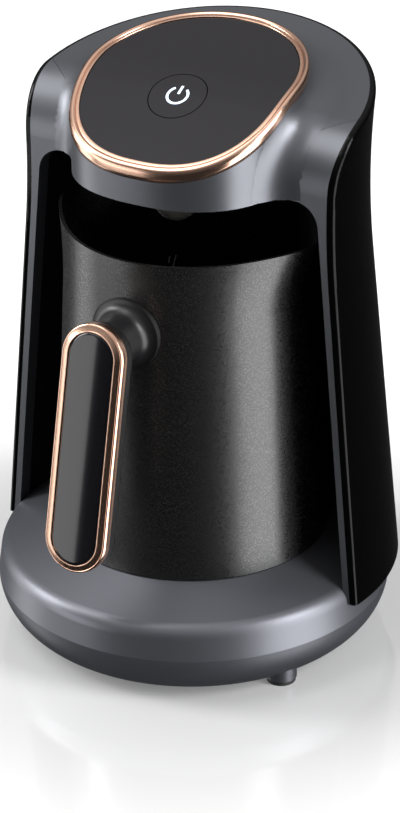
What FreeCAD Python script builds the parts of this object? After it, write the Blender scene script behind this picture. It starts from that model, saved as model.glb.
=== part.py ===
import FreeCAD, Part
import Sketcher
import math
import os

# Electric coffee maker for one pot of Turkish coffee, in millimetres.
# +Z is up, -Y is the front, and the floor is z = 0.
# Everything round stands about one upright axis, at x = 0 and y = axis_y.

Vector = FreeCAD.Vector
Rotation = FreeCAD.Rotation
document = FreeCAD.newDocument("CoffeeMaker")

driving_sizes = {
    # Base: a bowl below a parting seam, and a coned cover above it
    "seam_radius": 70.0,
    "seam_height": 18.7,
    "bowl_radius": 18.0,
    "underside_height": 3.5,
    "base_wall": 2.2,
    "seam_lip": 2.0,
    "shoulder_inset": 1.6,
    "shoulder_height": 30.0,
    "shoulder_round": 6.0,
    "cone_top_inset": 0.2,
    "cone_top_height": 37.8,
    "ledge_width": 16.0,
    "ledge_height": 25.3,
    "foot_radius": 5.5,
    "foot_inset": 10.5,
    "foot_rise": 6.3,
    "foot_pad": 1.6,
    "foot_pad_radius": 5.1,
    "foot_count": 3.0,
    # Heating plate and what hangs under it
    "plate_inset": 7.4,
    "plate_thickness": 2.1,
    "plate_top": 38.2,
    "seal_width": 1.5,
    "element_radius": 28.0,
    "element_tube": 3.2,
    "clamp_width": 12.0,
    "clamp_thickness": 1.5,
    "thermostat_radius": 7.0,
    "thermostat_depth": 5.5,
    # Coffee pot
    "pot_foot_inset": 21.6,
    "pot_taper": 5.9,
    "pot_headroom": 18.3,
    "pot_wall": 1.2,
    "pot_floor": 2.0,
    "lip_reach": 7.0,
    "lip_depth": 22.0,
    "lip_spread": 22.0,
    "lip_point": 1.5,
    "lip_rise": 1.6,
    # Handle
    "grip_tilt": 13.0,
    "grip_reach": 24.9,
    "grip_drop": 30.2,
    "grip_length": 86.4,
    "grip_width": 23.4,
    "grip_depth": 11.5,
    "grip_back_round": 4.8,
    "trim_width": 2.9,
    "trim_depth": 4.7,
    "trim_round": 1.6,
    "insert_thickness": 1.4,
    "insert_gap": 0.2,
    "stud_drop": 25.7,
    "stud_radius": 8.5,
    "stud_flare": 12.6,
    "nut_radius": 4.0,
    "nut_length": 7.0,
    "handle_screw_radius": 2.0,
    # Column: the shell leans in to a waist and flares out again above it
    "column_back": 2.0,
    "column_overhang": 2.4,
    "bend_run": 27.0,
    "waist_drop": 44.0,
    "waist_inset": 11.9,
    "waist_bend": 300.0,
    "column_top_height": 214.0,
    "shell_wall": 2.2,
    "shell_edge_round": 1.6,
    "cover_wall": 2.2,
    "crown_front": 8.75,
    "crown_drop": 20.7,
    "crown_lean": 88.96,
    "crown_slope": 10.76,
    "crown_bend": 22.0,
    # Niche that holds the pot
    "niche_forward": 8.0,
    "niche_foot_inset": 5.8,
    "niche_top_inset": 7.2,
    "niche_round": 9.0,
    "niche_drop": 42.0,
    "liner_wall": 2.0,
    "arm_depth": 6.0,
    # Head: an oval drum with a panel that bends over its middle
    "oval_half_width": 35.6,
    "oval_front": 36.4,
    "oval_back": 36.0,
    "oval_centre": 3.0,
    "oval_front_power": 2.45,
    "oval_back_power": 2.05,
    "ring_width": 3.4,
    "ring_proud": 0.9,
    "ring_skirt": 3.2,
    "ring_round": 1.4,
    "ring_step": 0.4,
    "panel_drop": 10.5,
    "front_slope": 27.3,
    "rear_slope": 11.1,
    "panel_bend": 50.0,
    "panel_thickness": 3.2,
    "drum_blend": 4.0,
    "panel_shelf": 2.0,
    "shelf_thickness": 1.8,
    "parting_angle": 38.3,
    "parting_side": 38.4,
    "parting_front": 7.0,
    "parting_gap": 0.15,
    "underside_thickness": 2.0,
    # Power button
    "button_radius": 10.0,
    "button_gap": 0.35,
    "button_forward": 6.8,
    "button_drop": 13.9,
    "button_tilt": 25.0,
    "button_skin": 1.6,
    "button_travel": 0.8,
    "button_skirt": 4.0,
    "collar_wall": 1.4,
    "collar_depth": 7.0,
    "icon_radius": 3.6,
    "icon_line": 0.9,
    "icon_gap_angle": 36.0,
    "stem_radius": 1.2,
    "stem_offset": 7.3,
    # Control board and what stands on it
    "board_depth": 12.0,
    "board_thickness": 1.6,
    "board_width": 46.0,
    "board_length": 34.0,
    "switch_size": 6.0,
    "switch_height": 3.4,
    "plunger_radius": 1.6,
    "plunger_height": 1.6,
    "light_radius": 2.5,
    "light_height": 4.0,
    "buzzer_radius": 6.0,
    "buzzer_height": 4.0,
    "post_radius": 4.0,
    # Sensor below the head
    "dome_half_width": 9.5,
    "dome_half_length": 17.0,
    "dome_drop": 19.0,
    "dome_wall": 1.4,
    "dome_forward": 5.0,
    "dome_flange": 3.0,
    "sensor_radius": 4.1,
    "sensor_length": 4.0,
    "sensor_board_width": 18.0,
    "sensor_board_length": 12.0,
    # Power board in the back of the column
    "power_board_width": 36.0,
    "power_board_height": 58.0,
    "power_board_low": 100.0,
    "power_board_inset": 18.6,
    "relay_depth": 6.2,
    # Fasteners, inlet and wiring
    "screw_radius": 1.6,
    "screw_head": 3.0,
    "screw_head_height": 1.8,
    "screw_play": 0.05,
    "boss_radius": 4.0,
    "base_screw_inset": 13.0,
    "inlet_radius": 5.0,
    "inlet_bore": 3.0,
    "inlet_height": 12.5,
    "cable_radius": 2.4,
    # Clearances
    "fit_gap": 0.15,
    "running_gap": 0.3,
}

sheet = document.addObject("Spreadsheet::Sheet", "Sizes")
for row, (alias, value) in enumerate(driving_sizes.items(), start=1):
    sheet.set("A%d" % row, alias)
    sheet.set("B%d" % row, str(value))
    sheet.setAlias("B%d" % row, alias)
document.recompute()


# A size is a number together with the sheet expression that gives it
class Size:
    def __init__(self, value, text):
        self.value = float(value)
        self.text = text

    def combine(self, other, sign, value):
        other = as_size(other)
        return Size(value, "(%s %s %s)" % (self.text, sign, other.text))

    def __add__(self, other):
        return self.combine(other, "+", self.value + as_size(other).value)

    def __sub__(self, other):
        return self.combine(other, "-", self.value - as_size(other).value)

    def __mul__(self, other):
        return self.combine(other, "*", self.value * as_size(other).value)

    def __truediv__(self, other):
        return self.combine(other, "/", self.value / as_size(other).value)

    def __radd__(self, other):
        return as_size(other) + self

    def __rsub__(self, other):
        return as_size(other) - self

    def __rmul__(self, other):
        return as_size(other) * self

    def __rtruediv__(self, other):
        return as_size(other) / self

    def __neg__(self):
        return Size(-self.value, "(0 - %s)" % self.text)


def as_size(number):
    if isinstance(number, Size):
        return number
    return Size(number, "%.6f" % number)


def cell(alias):
    return Size(sheet.get(alias), "Sizes." + alias)


def sine(angle):
    angle = as_size(angle)
    return Size(math.sin(math.radians(angle.value)), "sin(%s)" % angle.text)


def cosine(angle):
    angle = as_size(angle)
    return Size(math.cos(math.radians(angle.value)), "cos(%s)" % angle.text)


def tangent(angle):
    return sine(angle) / cosine(angle)


def root(number):
    number = as_size(number)
    return Size(math.sqrt(number.value), "sqrt(%s)" % number.text)


def bind(item, prop, size):
    size = as_size(size)
    setattr(item, prop, size.value)
    item.setExpression(prop, size.text)


# Lengths used in many places
seam_radius = cell("seam_radius")
seam_height = cell("seam_height")
base_wall = cell("base_wall")
fit_gap = cell("fit_gap")
running_gap = cell("running_gap")
ledge_height = cell("ledge_height")
plate_top = cell("plate_top")
screw_radius = cell("screw_radius")
screw_play = cell("screw_play")
boss_radius = cell("boss_radius")
plain_reach = 120.0

# Radii follow the base's seam, and heights in the head follow the column's top
shoulder_radius = seam_radius - cell("shoulder_inset")
foot_circle = seam_radius - cell("foot_inset")
base_screw_circle = seam_radius - cell("base_screw_inset")
pot_foot_radius = seam_radius - cell("pot_foot_inset")
pot_rim_radius = pot_foot_radius - cell("pot_taper")
cone_top_radius = pot_foot_radius - cell("cone_top_inset")
plate_radius = pot_foot_radius - cell("plate_inset")
column_foot_radius = seam_radius + cell("column_overhang")
waist_radius = column_foot_radius - cell("waist_inset")
niche_foot_radius = column_foot_radius - cell("niche_foot_inset")
niche_top_radius = waist_radius - cell("niche_top_inset")
column_top = cell("column_top_height")
niche_height = column_top - cell("niche_drop")
waist_height = column_top - cell("waist_drop")
bend_start_height = waist_height - cell("bend_run")
crown_height = column_top - cell("crown_drop")
panel_bend_height = column_top - cell("panel_drop")
button_height = column_top - cell("button_drop")
pot_top = niche_height - cell("pot_headroom")
pot_height = pot_top - plate_top
stud_height = pot_top - cell("stud_drop")
grip_mid_height = stud_height - cell("grip_drop")
grip_out = pot_foot_radius + cell("grip_reach")

# The outline from the grip's lowest front corner to the shell's back is centred on y = 0
grip_front = (
    grip_out
    + (cell("grip_length") / 2 - cell("grip_width") / 2) * sine(cell("grip_tilt"))
    + cell("grip_width") / 2 * 0.17
)
axis_y = (grip_front - cell("column_back") - column_foot_radius) / 2


def place(item, x=0.0, y=0.0, z=0.0, tilt=0.0):
    # y is measured from the upright axis; tilt turns the piece about X, so that its +Z leans to -Y
    x, y, z, tilt = as_size(x), as_size(y) + axis_y, as_size(z), as_size(tilt)
    across = Vector(1, 0, 0)
    if tilt.value < 0:
        across, tilt = Vector(-1, 0, 0), -tilt
    item.Placement = FreeCAD.Placement(Vector(x.value, y.value, z.value), Rotation(across, tilt.value))
    item.setExpression(".Placement.Base.x", x.text)
    item.setExpression(".Placement.Base.y", y.text)
    item.setExpression(".Placement.Base.z", z.text)
    if tilt.value > 0:
        item.setExpression(".Placement.Rotation.Angle", tilt.text)
    return item


def new_body(name):
    body = document.addObject("PartDesign::Body", name)
    body.Label = name
    body.AllowCompound = True
    return body


def new_sketch(body, name, plane, lift=None):
    sketch = body.newObject("Sketcher::SketchObject", name)
    support = next(item for item in body.Origin.OriginFeatures if item.Role == plane)
    sketch.AttachmentSupport = [(support, "")]
    sketch.MapMode = "FlatFace"
    if lift is not None:
        sketch.AttachmentOffset.Base.z = lift.value
        sketch.setExpression(".AttachmentOffset.Base.z", lift.text)
    return sketch


def arc_between(start, end, radius, turn):
    # turn 1 goes counter-clockwise from start to end, turn -1 clockwise
    middle = (start + end) * 0.5
    half = (end - start).Length / 2
    across = Vector(-(end - start).y, (end - start).x, 0).normalize()
    rise = math.sqrt(max(radius * radius - half * half, 0.0))
    centre = middle + across * rise * turn
    first, last = (start, end) if turn > 0 else (end, start)
    circle = Part.Circle(centre, Vector(0, 0, 1), radius)
    return Part.ArcOfCircle(circle, circle.parameter(first), circle.parameter(last))


def outline(sketch, corners):
    # A closed outline: each corner is (x, y) or, where an arc leads to it, (x, y, radius, turn)
    count = len(corners)
    points = [Vector(as_size(c[0]).value, as_size(c[1]).value, 0) for c in corners]
    first_edge = sketch.GeometryCount
    starts = []
    for number in range(count):
        arrival = corners[(number + 1) % count]
        start, end = points[number], points[(number + 1) % count]
        if len(arrival) == 2:
            sketch.addGeometry(Part.LineSegment(start, end), False)
            starts.append((1, 2))
        else:
            radius = as_size(arrival[2])
            sketch.addGeometry(arc_between(start, end, radius.value, arrival[3]), False)
            starts.append((1, 2) if arrival[3] > 0 else (2, 1))
    for number in range(count):
        following = (number + 1) % count
        joint = Sketcher.Constraint(
            "Coincident", first_edge + number, starts[number][1],
            first_edge + following, starts[following][0],
        )
        sketch.addConstraint(joint)
    for number, corner in enumerate(corners):
        for kind, coordinate in (("DistanceX", corner[0]), ("DistanceY", corner[1])):
            coordinate = as_size(coordinate)
            position = Sketcher.Constraint(
                kind, -1, 1, first_edge + number, starts[number][0], coordinate.value
            )
            index = sketch.addConstraint(position)
            sketch.setExpression("Constraints[%d]" % index, coordinate.text)
    for number in range(count):
        arrival = corners[(number + 1) % count]
        if len(arrival) > 2:
            radius = as_size(arrival[2])
            index = sketch.addConstraint(Sketcher.Constraint("Radius", first_edge + number, radius.value))
            sketch.setExpression("Constraints[%d]" % index, radius.text)


def circle_at(sketch, x, y, radius):
    x, y, radius = as_size(x), as_size(y), as_size(radius)
    edge = sketch.addGeometry(Part.Circle(Vector(x.value, y.value, 0), Vector(0, 0, 1), radius.value), False)
    for kind, coordinate in (("DistanceX", x), ("DistanceY", y)):
        index = sketch.addConstraint(Sketcher.Constraint(kind, -1, 1, edge, 3, coordinate.value))
        sketch.setExpression("Constraints[%d]" % index, coordinate.text)
    index = sketch.addConstraint(Sketcher.Constraint("Radius", edge, radius.value))
    sketch.setExpression("Constraints[%d]" % index, radius.text)


def revolve(body, name, corners):
    # corners are (radius, height) about the body's own Z axis
    sketch = new_sketch(body, name + "_profile", "XZ_Plane")
    outline(sketch, corners)
    feature = body.newObject("PartDesign::Revolution", name)
    feature.Profile = sketch
    feature.ReferenceAxis = (sketch, ["V_Axis"])
    feature.Angle = 360.0
    body.Tip = feature
    return feature


def pad(body, name, plane, draw, length, lift=None, middle=False, back=False):
    sketch = new_sketch(body, name + "_sketch", plane, lift)
    draw(sketch)
    feature = body.newObject("PartDesign::Pad", name)
    feature.Profile = sketch
    bind(feature, "Length", length)
    if middle:
        feature.SideType = "Symmetric"
    feature.Reversed = back
    body.Tip = feature
    return feature


def pocket(body, name, plane, draw, length, lift=None, middle=False, back=False):
    document.recompute()
    before = body.Shape.Volume
    sketch = new_sketch(body, name + "_sketch", plane, lift)
    draw(sketch)
    feature = body.newObject("PartDesign::Pocket", name)
    feature.Profile = sketch
    bind(feature, "Length", length)
    if middle:
        feature.SideType = "Symmetric"
    feature.Reversed = back
    body.Tip = feature
    document.recompute()
    if body.Shape.Volume > before - 0.01:
        raise RuntimeError(name + " cuts nothing")
    return feature


def turn_pattern(body, name, feature, count):
    pattern = body.newObject("PartDesign::PolarPattern", name)
    pattern.Originals = [feature]
    axis = next(item for item in body.Origin.OriginFeatures if item.Role == "Z_Axis")
    pattern.Axis = (axis, [""])
    pattern.Angle = 360.0
    pattern.Occurrences = int(round(as_size(count).value))
    pattern.setExpression("Occurrences", as_size(count).text)
    body.Tip = pattern
    return pattern


def round_edges(body, name, feature, radius, chosen):
    document.recompute()
    names = [
        "Edge%d" % (number + 1)
        for number, edge in enumerate(feature.Shape.Edges)
        if chosen(edge)
    ]
    if not names:
        raise RuntimeError(name + " finds no edge")
    rounded = body.newObject("PartDesign::Fillet", name)
    rounded.Base = (feature, names)
    bind(rounded, "Radius", radius)
    body.Tip = rounded
    return rounded


def ring_edge(radius, height):
    # Picks the circle of this radius at this height about the body's own Z axis
    radius, height = as_size(radius).value, as_size(height).value

    def chosen(edge):
        box = edge.BoundBox
        return (
            abs(box.ZMin - height) < 0.02
            and abs(box.ZMax - height) < 0.02
            and abs(box.XMax - radius) < 0.05
        )

    return chosen


def cut(name, base, *tools):
    result = base
    for number, tool in enumerate(tools):
        last = number == len(tools) - 1
        result_name = name if last else "%s_step%d" % (name, number + 1)
        step = document.addObject("Part::Cut", result_name)
        step.Base = result
        step.Tool = tool
        result = step
    result.Label = name
    return result


def common(name, first, second):
    result = document.addObject("Part::Common", name)
    result.Base = first
    result.Tool = second
    result.Label = name
    return result


def fuse(name, *pieces):
    result = document.addObject("Part::MultiFuse", name)
    result.Shapes = list(pieces)
    result.Label = name
    return result


def rod(name, radius, length, x=0.0, y=0.0, z=0.0, tilt=0.0):
    # A cylinder that starts at the given point, along +Z before it is tilted
    cylinder = document.addObject("Part::Cylinder", name)
    bind(cylinder, "Radius", radius)
    bind(cylinder, "Height", length)
    return place(cylinder, x, y, z, tilt)


def block(name, width, depth, height, x=0.0, y=0.0, z=0.0):
    # A box given by its middle in x and its lowest corner in y and z
    box = document.addObject("Part::Box", name)
    bind(box, "Length", width)
    bind(box, "Width", depth)
    bind(box, "Height", height)
    return place(box, as_size(x) - as_size(width) / 2, y, z)


sub_parts = []


def keep(name, item):
    item.Label = name
    sub_parts.append(item)
    return item


# The column's round form: a straight lean, then an arc through the waist
def column_form(name, inset, bottom, top):
    inset, bottom, top = as_size(inset), as_size(bottom), as_size(top)
    waist, bend = waist_radius, cell("waist_bend")
    foot = column_foot_radius
    start = bend_start_height

    def arc_radius_at(height):
        offset = height - waist_height
        return waist + bend - root(bend * bend - offset * offset) - inset

    lean = (arc_radius_at(start) + inset - foot) / (start - ledge_height)

    def straight_radius_at(height):
        return foot + lean * (height - ledge_height) - inset

    body = new_body(name)
    corners = [(0, bottom)]
    if bottom.value >= start.value:
        corners.append((arc_radius_at(bottom), bottom))
    else:
        corners.append((straight_radius_at(bottom), bottom))
    if top.value <= start.value:
        corners.append((straight_radius_at(top), top))
    else:
        if bottom.value < start.value:
            corners.append((arc_radius_at(start), start))
        corners.append((arc_radius_at(top), top, bend + inset, -1))
    corners.append((0, top))
    revolve(body, name + "_turn", corners)
    return place(body, 0, cell("column_back"), 0)


# A form seen from the side: all that lies behind and below two straight runs joined by an arc
def bent_form(name, corner_y, corner_z, low_slope, high_slope, bend, inset, floor, reach):
    inset = as_size(inset)
    shared = 1 + sine(low_slope) * sine(high_slope) + cosine(low_slope) * cosine(high_slope)
    y = corner_y + inset * (sine(low_slope) + sine(high_slope)) / shared
    z = corner_z - inset * (cosine(low_slope) + cosine(high_slope)) / shared
    radius = bend - inset
    run = radius * tangent((low_slope - high_slope) / 2)
    body = new_body(name)

    def draw(sketch):
        outline(sketch, [
            (y - (z - floor) / tangent(low_slope), floor),
            (y - run * cosine(low_slope), z - run * sine(low_slope)),
            (y + run * cosine(high_slope), z + run * sine(high_slope), radius, -1),
            (reach, z + (reach - y) * tangent(high_slope)),
            (reach, floor),
        ])

    pad(body, name + "_run", "YZ_Plane", draw, as_size(reach) * 2, middle=True)
    return place(body)


def crown_form(name, inset, floor):
    return bent_form(
        name, -cell("crown_front"), crown_height, cell("crown_lean"), cell("crown_slope"),
        cell("crown_bend"), inset, as_size(floor), as_size(plain_reach),
    )


def panel_form(name, inset):
    return bent_form(
        name, as_size(0), panel_bend_height, cell("front_slope"), cell("rear_slope"),
        cell("panel_bend"), inset, niche_height - 22, as_size(plain_reach),
    )


# The niche: a cone that opens to the front, with a rounded ceiling
def niche_form(name, grow, bottom):
    grow, bottom = as_size(grow), as_size(bottom)
    foot, top = niche_foot_radius, niche_top_radius
    lean = (top - foot) / (niche_height - ledge_height)
    ceiling = niche_height + grow
    body = new_body(name)
    turned = revolve(body, name + "_turn", [
        (0, bottom),
        (foot + lean * (bottom - ledge_height) + grow, bottom),
        (top + lean * grow + grow, ceiling),
        (0, ceiling),
    ])
    round_edges(
        body, name + "_round", turned, cell("niche_round") + grow,
        ring_edge(top + lean * grow + grow, ceiling),
    )
    return place(body, 0, -cell("niche_forward"), 0)


# The head's oval column: a super-ellipse, fuller at the front than at the back
def oval_column(name, grow, low, high):
    grow, low, high = as_size(grow), as_size(low), as_size(high)
    half_width = sheet.get("oval_half_width") + grow.value
    points = []
    steps = 40
    for step in range(steps):
        angle = math.pi / 2 + 2 * math.pi * step / steps
        front = math.sin(angle) < 0
        power = sheet.get("oval_front_power") if front else sheet.get("oval_back_power")
        depth = (sheet.get("oval_front") if front else sheet.get("oval_back")) + grow.value
        across = math.copysign(abs(math.cos(angle)) ** (2 / power), math.cos(angle))
        along = math.copysign(abs(math.sin(angle)) ** (2 / power), math.sin(angle))
        points.append(Vector(half_width * across, depth * along, 0))
    curve = Part.BSplineCurve()
    curve.interpolate(Points=points, PeriodicFlag=True)
    face = Part.Face(Part.Wire([curve.toShape()]))
    column = document.addObject("Part::Feature", name)
    column.Label = name
    column.Shape = face.extrude(Vector(0, 0, high.value - low.value))
    return place(column, 0, cell("oval_centre"), low)


# Base

column_screw_x = 25.0
column_screw_y = seam_radius - 12
cable_y = seam_radius - 8
bowl_centre = seam_radius - cell("bowl_radius")
underside = cell("underside_height")
floor_top = underside + base_wall
ledge_bottom = ledge_height - base_wall
ledge_inner = shoulder_radius - cell("ledge_width")


def bowl_reach(height, inset):
    radius = cell("bowl_radius") - inset
    drop = seam_height - height
    return bowl_centre + root(radius * radius - drop * drop)


def build_base_bottom_cover():
    body = new_body("bowl_body")
    lip_outer = seam_radius - base_wall / 2 - fit_gap
    inner = seam_radius - base_wall
    revolve(body, "bowl_turn", [
        (0, underside),
        (bowl_reach(underside, 0.0), underside),
        (seam_radius, seam_height, cell("bowl_radius"), 1),
        (lip_outer, seam_height),
        (lip_outer, seam_height + cell("seam_lip") - fit_gap),
        (inner, seam_height + cell("seam_lip") - fit_gap),
        (inner, seam_height),
        (bowl_reach(floor_top, base_wall), floor_top, cell("bowl_radius") - base_wall, -1),
        (0, floor_top),
    ])
    foot_angle = 30.0
    stub = pad(
        body, "foot_stubs", "XY_Plane",
        lambda sketch: circle_at(
            sketch, foot_circle * cosine(foot_angle), -foot_circle * sine(foot_angle), cell("foot_radius")
        ),
        cell("foot_rise") - cell("foot_pad"), lift=cell("foot_pad"),
    )
    turn_pattern(body, "stub_pattern", stub, cell("foot_count"))
    post = pad(
        body, "screw_posts", "XY_Plane",
        lambda sketch: circle_at(sketch, 0, -base_screw_circle, boss_radius + 1),
        ledge_bottom - floor_top + base_wall / 2, lift=floor_top - base_wall / 2,
    )
    turn_pattern(body, "post_pattern", post, cell("foot_count"))
    hole = pocket(
        body, "screw_holes", "XY_Plane",
        lambda sketch: circle_at(sketch, 0, -base_screw_circle, screw_radius + screw_play),
        ledge_bottom, back=True,
    )
    turn_pattern(body, "hole_pattern", hole, cell("foot_count"))
    recess = pocket(
        body, "head_recesses", "XY_Plane",
        lambda sketch: circle_at(
            sketch, 0, -base_screw_circle, cell("screw_head") + running_gap
        ),
        floor_top + cell("screw_head_height"), back=True,
    )
    turn_pattern(body, "recess_pattern", recess, cell("foot_count"))
    place(body)
    inlet_hole = rod(
        "inlet_hole", cell("inlet_radius") + fit_gap, 30.0, 0, cell("bowl_radius") + bowl_centre - 12,
        cell("inlet_height"), -90,
    )
    keep("base_bottom_cover", cut("base_bottom_cover", body, inlet_hole))


def build_feet():
    body = new_body("feet_body")
    circle, radius = foot_circle, cell("foot_pad_radius")
    angle = 30.0

    def draw(sketch):
        circle_at(sketch, circle * cosine(angle), -circle * sine(angle), radius)

    foot = pad(body, "foot_pad", "XY_Plane", draw, cell("foot_pad"))
    turn_pattern(body, "foot_pattern", foot, cell("foot_count"))
    keep("rubber_feet", place(body))


def build_base_top_cover():
    body = new_body("cone_body")
    shoulder, rise = shoulder_radius, cell("shoulder_height")
    rim, top = cone_top_radius, cell("cone_top_height")
    hole = plate_radius + cell("seal_width") + 0.2
    well_wall = hole + base_wall
    seal_floor = plate_top - cell("plate_thickness") - base_wall
    lap = seam_radius - base_wall / 2
    inner = shoulder - base_wall
    turned = revolve(body, "cone_turn", [
        (seam_radius, seam_height),
        (shoulder, rise),
        (rim, top),
        (hole, top),
        (hole, seal_floor),
        (hole - 5, seal_floor),
        (hole - 5, seal_floor - base_wall),
        (well_wall, seal_floor - base_wall),
        (well_wall, top - base_wall),
        (rim - 0.5, top - base_wall),
        (inner - 0.6, rise - base_wall * 0.7),
        (inner, ledge_height),
        (ledge_inner, ledge_height),
        (ledge_inner, ledge_bottom),
        (inner, ledge_bottom),
        (inner + 0.6, seam_height + cell("seam_lip")),
        (lap, seam_height + cell("seam_lip")),
        (lap, seam_height),
    ])
    round_edges(body, "shoulder_round", turned, cell("shoulder_round"), ring_edge(shoulder, rise))
    ledge_hole = pocket(
        body, "ledge_screw_holes", "XY_Plane",
        lambda sketch: circle_at(sketch, 0, -base_screw_circle, screw_radius + screw_play),
        ledge_height, back=True,
    )
    turn_pattern(body, "ledge_hole_pattern", ledge_hole, cell("foot_count"))
    place(body)
    footprint = cut(
        "column_footprint",
        common(
            "column_plan",
            column_form("footprint_round", -fit_gap, ledge_height, 60.0),
            crown_form("footprint_side", -fit_gap, ledge_height),
        ),
        niche_form("footprint_niche", -fit_gap, ledge_height - 5),
    )
    cable_way = rod("cable_way", cell("cable_radius") + 0.1, 20.0, 12, cable_y, 18.0)
    shafts = [
        rod("column_screw_hole_%d" % number, screw_radius + screw_play, 10.0, x, column_screw_y, 20.0)
        for number, x in enumerate((-column_screw_x, column_screw_x))
    ]
    keep("base_top_cover", cut("base_top_cover", body, footprint, cable_way, *shafts))


def screw_solid(name, radius, head_radius, head_height, length):
    # The head starts at the body's origin and the shank runs up from it
    body = new_body(name)
    revolve(body, name + "_turn", [
        (0, 0),
        (head_radius, 0),
        (head_radius, head_height),
        (radius, head_height),
        (radius, head_height + length),
        (0, head_height + length),
    ])
    return body


def build_base_screws():
    head_height = cell("screw_head_height")
    pieces = []
    for number in range(int(sheet.get("foot_count"))):
        turn = 360.0 / sheet.get("foot_count") * number - 90
        body = screw_solid(
            "base_screw_%d" % number, screw_radius, cell("screw_head"), head_height,
            ledge_height - floor_top - head_height,
        )
        circle = base_screw_circle
        pieces.append(place(body, circle * cosine(turn), circle * sine(turn), floor_top))
    group = fuse("base_screws", *pieces)
    keep("base_screws", group)


# Heating plate group

plate_under = plate_top - cell("plate_thickness")


def build_heating_group():
    plate = new_body("heating_plate")
    turned = revolve(plate, "plate_turn", [
        (0, plate_under), (plate_radius, plate_under), (plate_radius, plate_top), (0, plate_top),
    ])
    round_edges(plate, "plate_round", turned, 0.5, ring_edge(plate_radius, plate_top))
    keep("heating_plate", place(plate))

    seal = new_body("plate_seal")
    hole = plate_radius + cell("seal_width") + 0.2
    seal_floor = plate_under - base_wall
    revolve(seal, "seal_turn", [
        (hole - 4, seal_floor),
        (hole - 0.1, seal_floor),
        (hole - 0.1, cell("cone_top_height") - 0.2),
        (plate_radius + 0.1, cell("cone_top_height") - 0.2),
        (plate_radius + 0.1, plate_under),
        (hole - 4, plate_under),
    ])
    keep("plate_seal", place(seal))

    # The element is a ring with a gap, flattened where it is brazed to the plate
    ring = document.addObject("Part::Torus", "element_ring")
    bind(ring, "Radius1", cell("element_radius"))
    bind(ring, "Radius2", cell("element_tube"))
    ring.Angle3 = 320.0
    element_axis = plate_under - cell("element_tube") + 0.4
    place(ring, 0, 0, element_axis)
    above = block("above_element", 100.0, 100.0, 5.0, 0, -50, plate_under)
    keep("heating_element", cut("heating_element", ring, above))

    clamp = new_body("element_clamp")
    clamp_top = element_axis - cell("element_tube")
    half = cell("element_radius") + 6

    def draw(sketch):
        outline(sketch, [
            (-half, clamp_top - cell("clamp_thickness")),
            (half, clamp_top - cell("clamp_thickness")),
            (half, clamp_top),
            (-half, clamp_top),
        ])

    pad(clamp, "clamp_strip", "XZ_Plane", draw, cell("clamp_width"), middle=True)
    pocket(
        clamp, "clamp_hole", "XY_Plane",
        lambda sketch: circle_at(sketch, 0, 0, screw_radius + screw_play), 20.0,
        lift=clamp_top - 10, back=True,
    )
    keep("element_clamp", place(clamp))

    clamp_low = clamp_top - cell("clamp_thickness")
    screw = screw_solid(
        "clamp_screw", screw_radius, cell("screw_head"), cell("screw_head_height"), plate_under - clamp_low
    )
    keep("clamp_screw", place(screw, 0, 0, clamp_low - cell("screw_head_height")))

    thermostat = new_body("plate_thermostat")
    low = plate_under - cell("thermostat_depth")
    revolve(thermostat, "thermostat_turn", [
        (0, low),
        (cell("thermostat_radius") - 1, low),
        (cell("thermostat_radius") - 1, low + 2),
        (cell("thermostat_radius"), low + 2),
        (cell("thermostat_radius"), plate_under),
        (0, plate_under),
    ])
    keep("plate_thermostat", place(thermostat, 0, 16, 0))

    fuse_tube = rod("thermal_fuse_tube", 2.2, 12.0, 10, -7, plate_under - 2.0, 90)
    fuse_trim = block("above_fuse", 20.0, 40.0, 5.0, 10, -40, plate_under)
    keep("thermal_fuse", cut("thermal_fuse", fuse_tube, fuse_trim))


# Coffee pot

pot_lean = (pot_rim_radius - pot_foot_radius) / pot_height


def pot_section(height, inset):
    # One level of the pot's wall: a circle, with two pouring lips that grow towards the rim
    base = pot_foot_radius.value + pot_lean.value * (height - plate_top.value) - inset
    rise = (height - (pot_top.value - sheet.get("lip_depth"))) / sheet.get("lip_depth")
    reach = sheet.get("lip_reach") * max(rise, 0.0) ** sheet.get("lip_rise")
    points = []
    steps = 64
    for step in range(steps):
        angle = math.pi / 2 + 2 * math.pi * step / steps
        away = math.degrees(math.acos(min(abs(math.cos(angle)), 1.0)))
        radius = base + reach * math.exp(-((away / sheet.get("lip_spread")) ** sheet.get("lip_point")))
        points.append(Vector(radius * math.cos(angle), radius * math.sin(angle), height))
    curve = Part.BSplineCurve()
    curve.interpolate(Points=points, PeriodicFlag=True)
    return Part.Wire([curve.toShape()])


def pot_form(inset, low):
    # A plain cone up to where the lips begin, then evenly spaced sections up to the rim
    depth = sheet.get("lip_depth")
    lip_start = pot_top.value - depth
    cone = Part.makeLoft([pot_section(low, inset), pot_section(lip_start, inset)], True, True)
    steps = 8
    levels = [lip_start + depth * step / steps for step in range(steps + 1)]
    lips = Part.makeLoft([pot_section(level, inset) for level in levels], True, False)
    return cone.fuse(lips)


def build_pot():
    outer = pot_form(0.0, plate_top.value)
    inner = pot_form(sheet.get("pot_wall"), plate_top.value + sheet.get("pot_floor"))
    pot = document.addObject("Part::Feature", "coffee_pot")
    pot.Shape = outer.cut(inner)
    keep("coffee_pot", place(pot))


def pot_wall_at_stud():
    return -(pot_foot_radius + pot_lean * (stud_height - plate_top))


# Handle, drawn in its own frame: +Z out of its front, +Y up along the grip

grip_tilt = cell("grip_tilt")


def capsule_outline(sketch, width, length):
    # Two straight sides joined by half circles, each drawn as two quarter arcs
    straight = (length - width) / 2
    half = width / 2
    outline(sketch, [
        (half, -straight, half, 1),
        (half, straight),
        (0, straight + half, half, 1),
        (-half, straight, half, 1),
        (-half, -straight),
        (0, -straight - half, half, 1),
    ])


def place_grip(item):
    return place(item, 0, -grip_out, grip_mid_height, 90 - grip_tilt)


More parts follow.
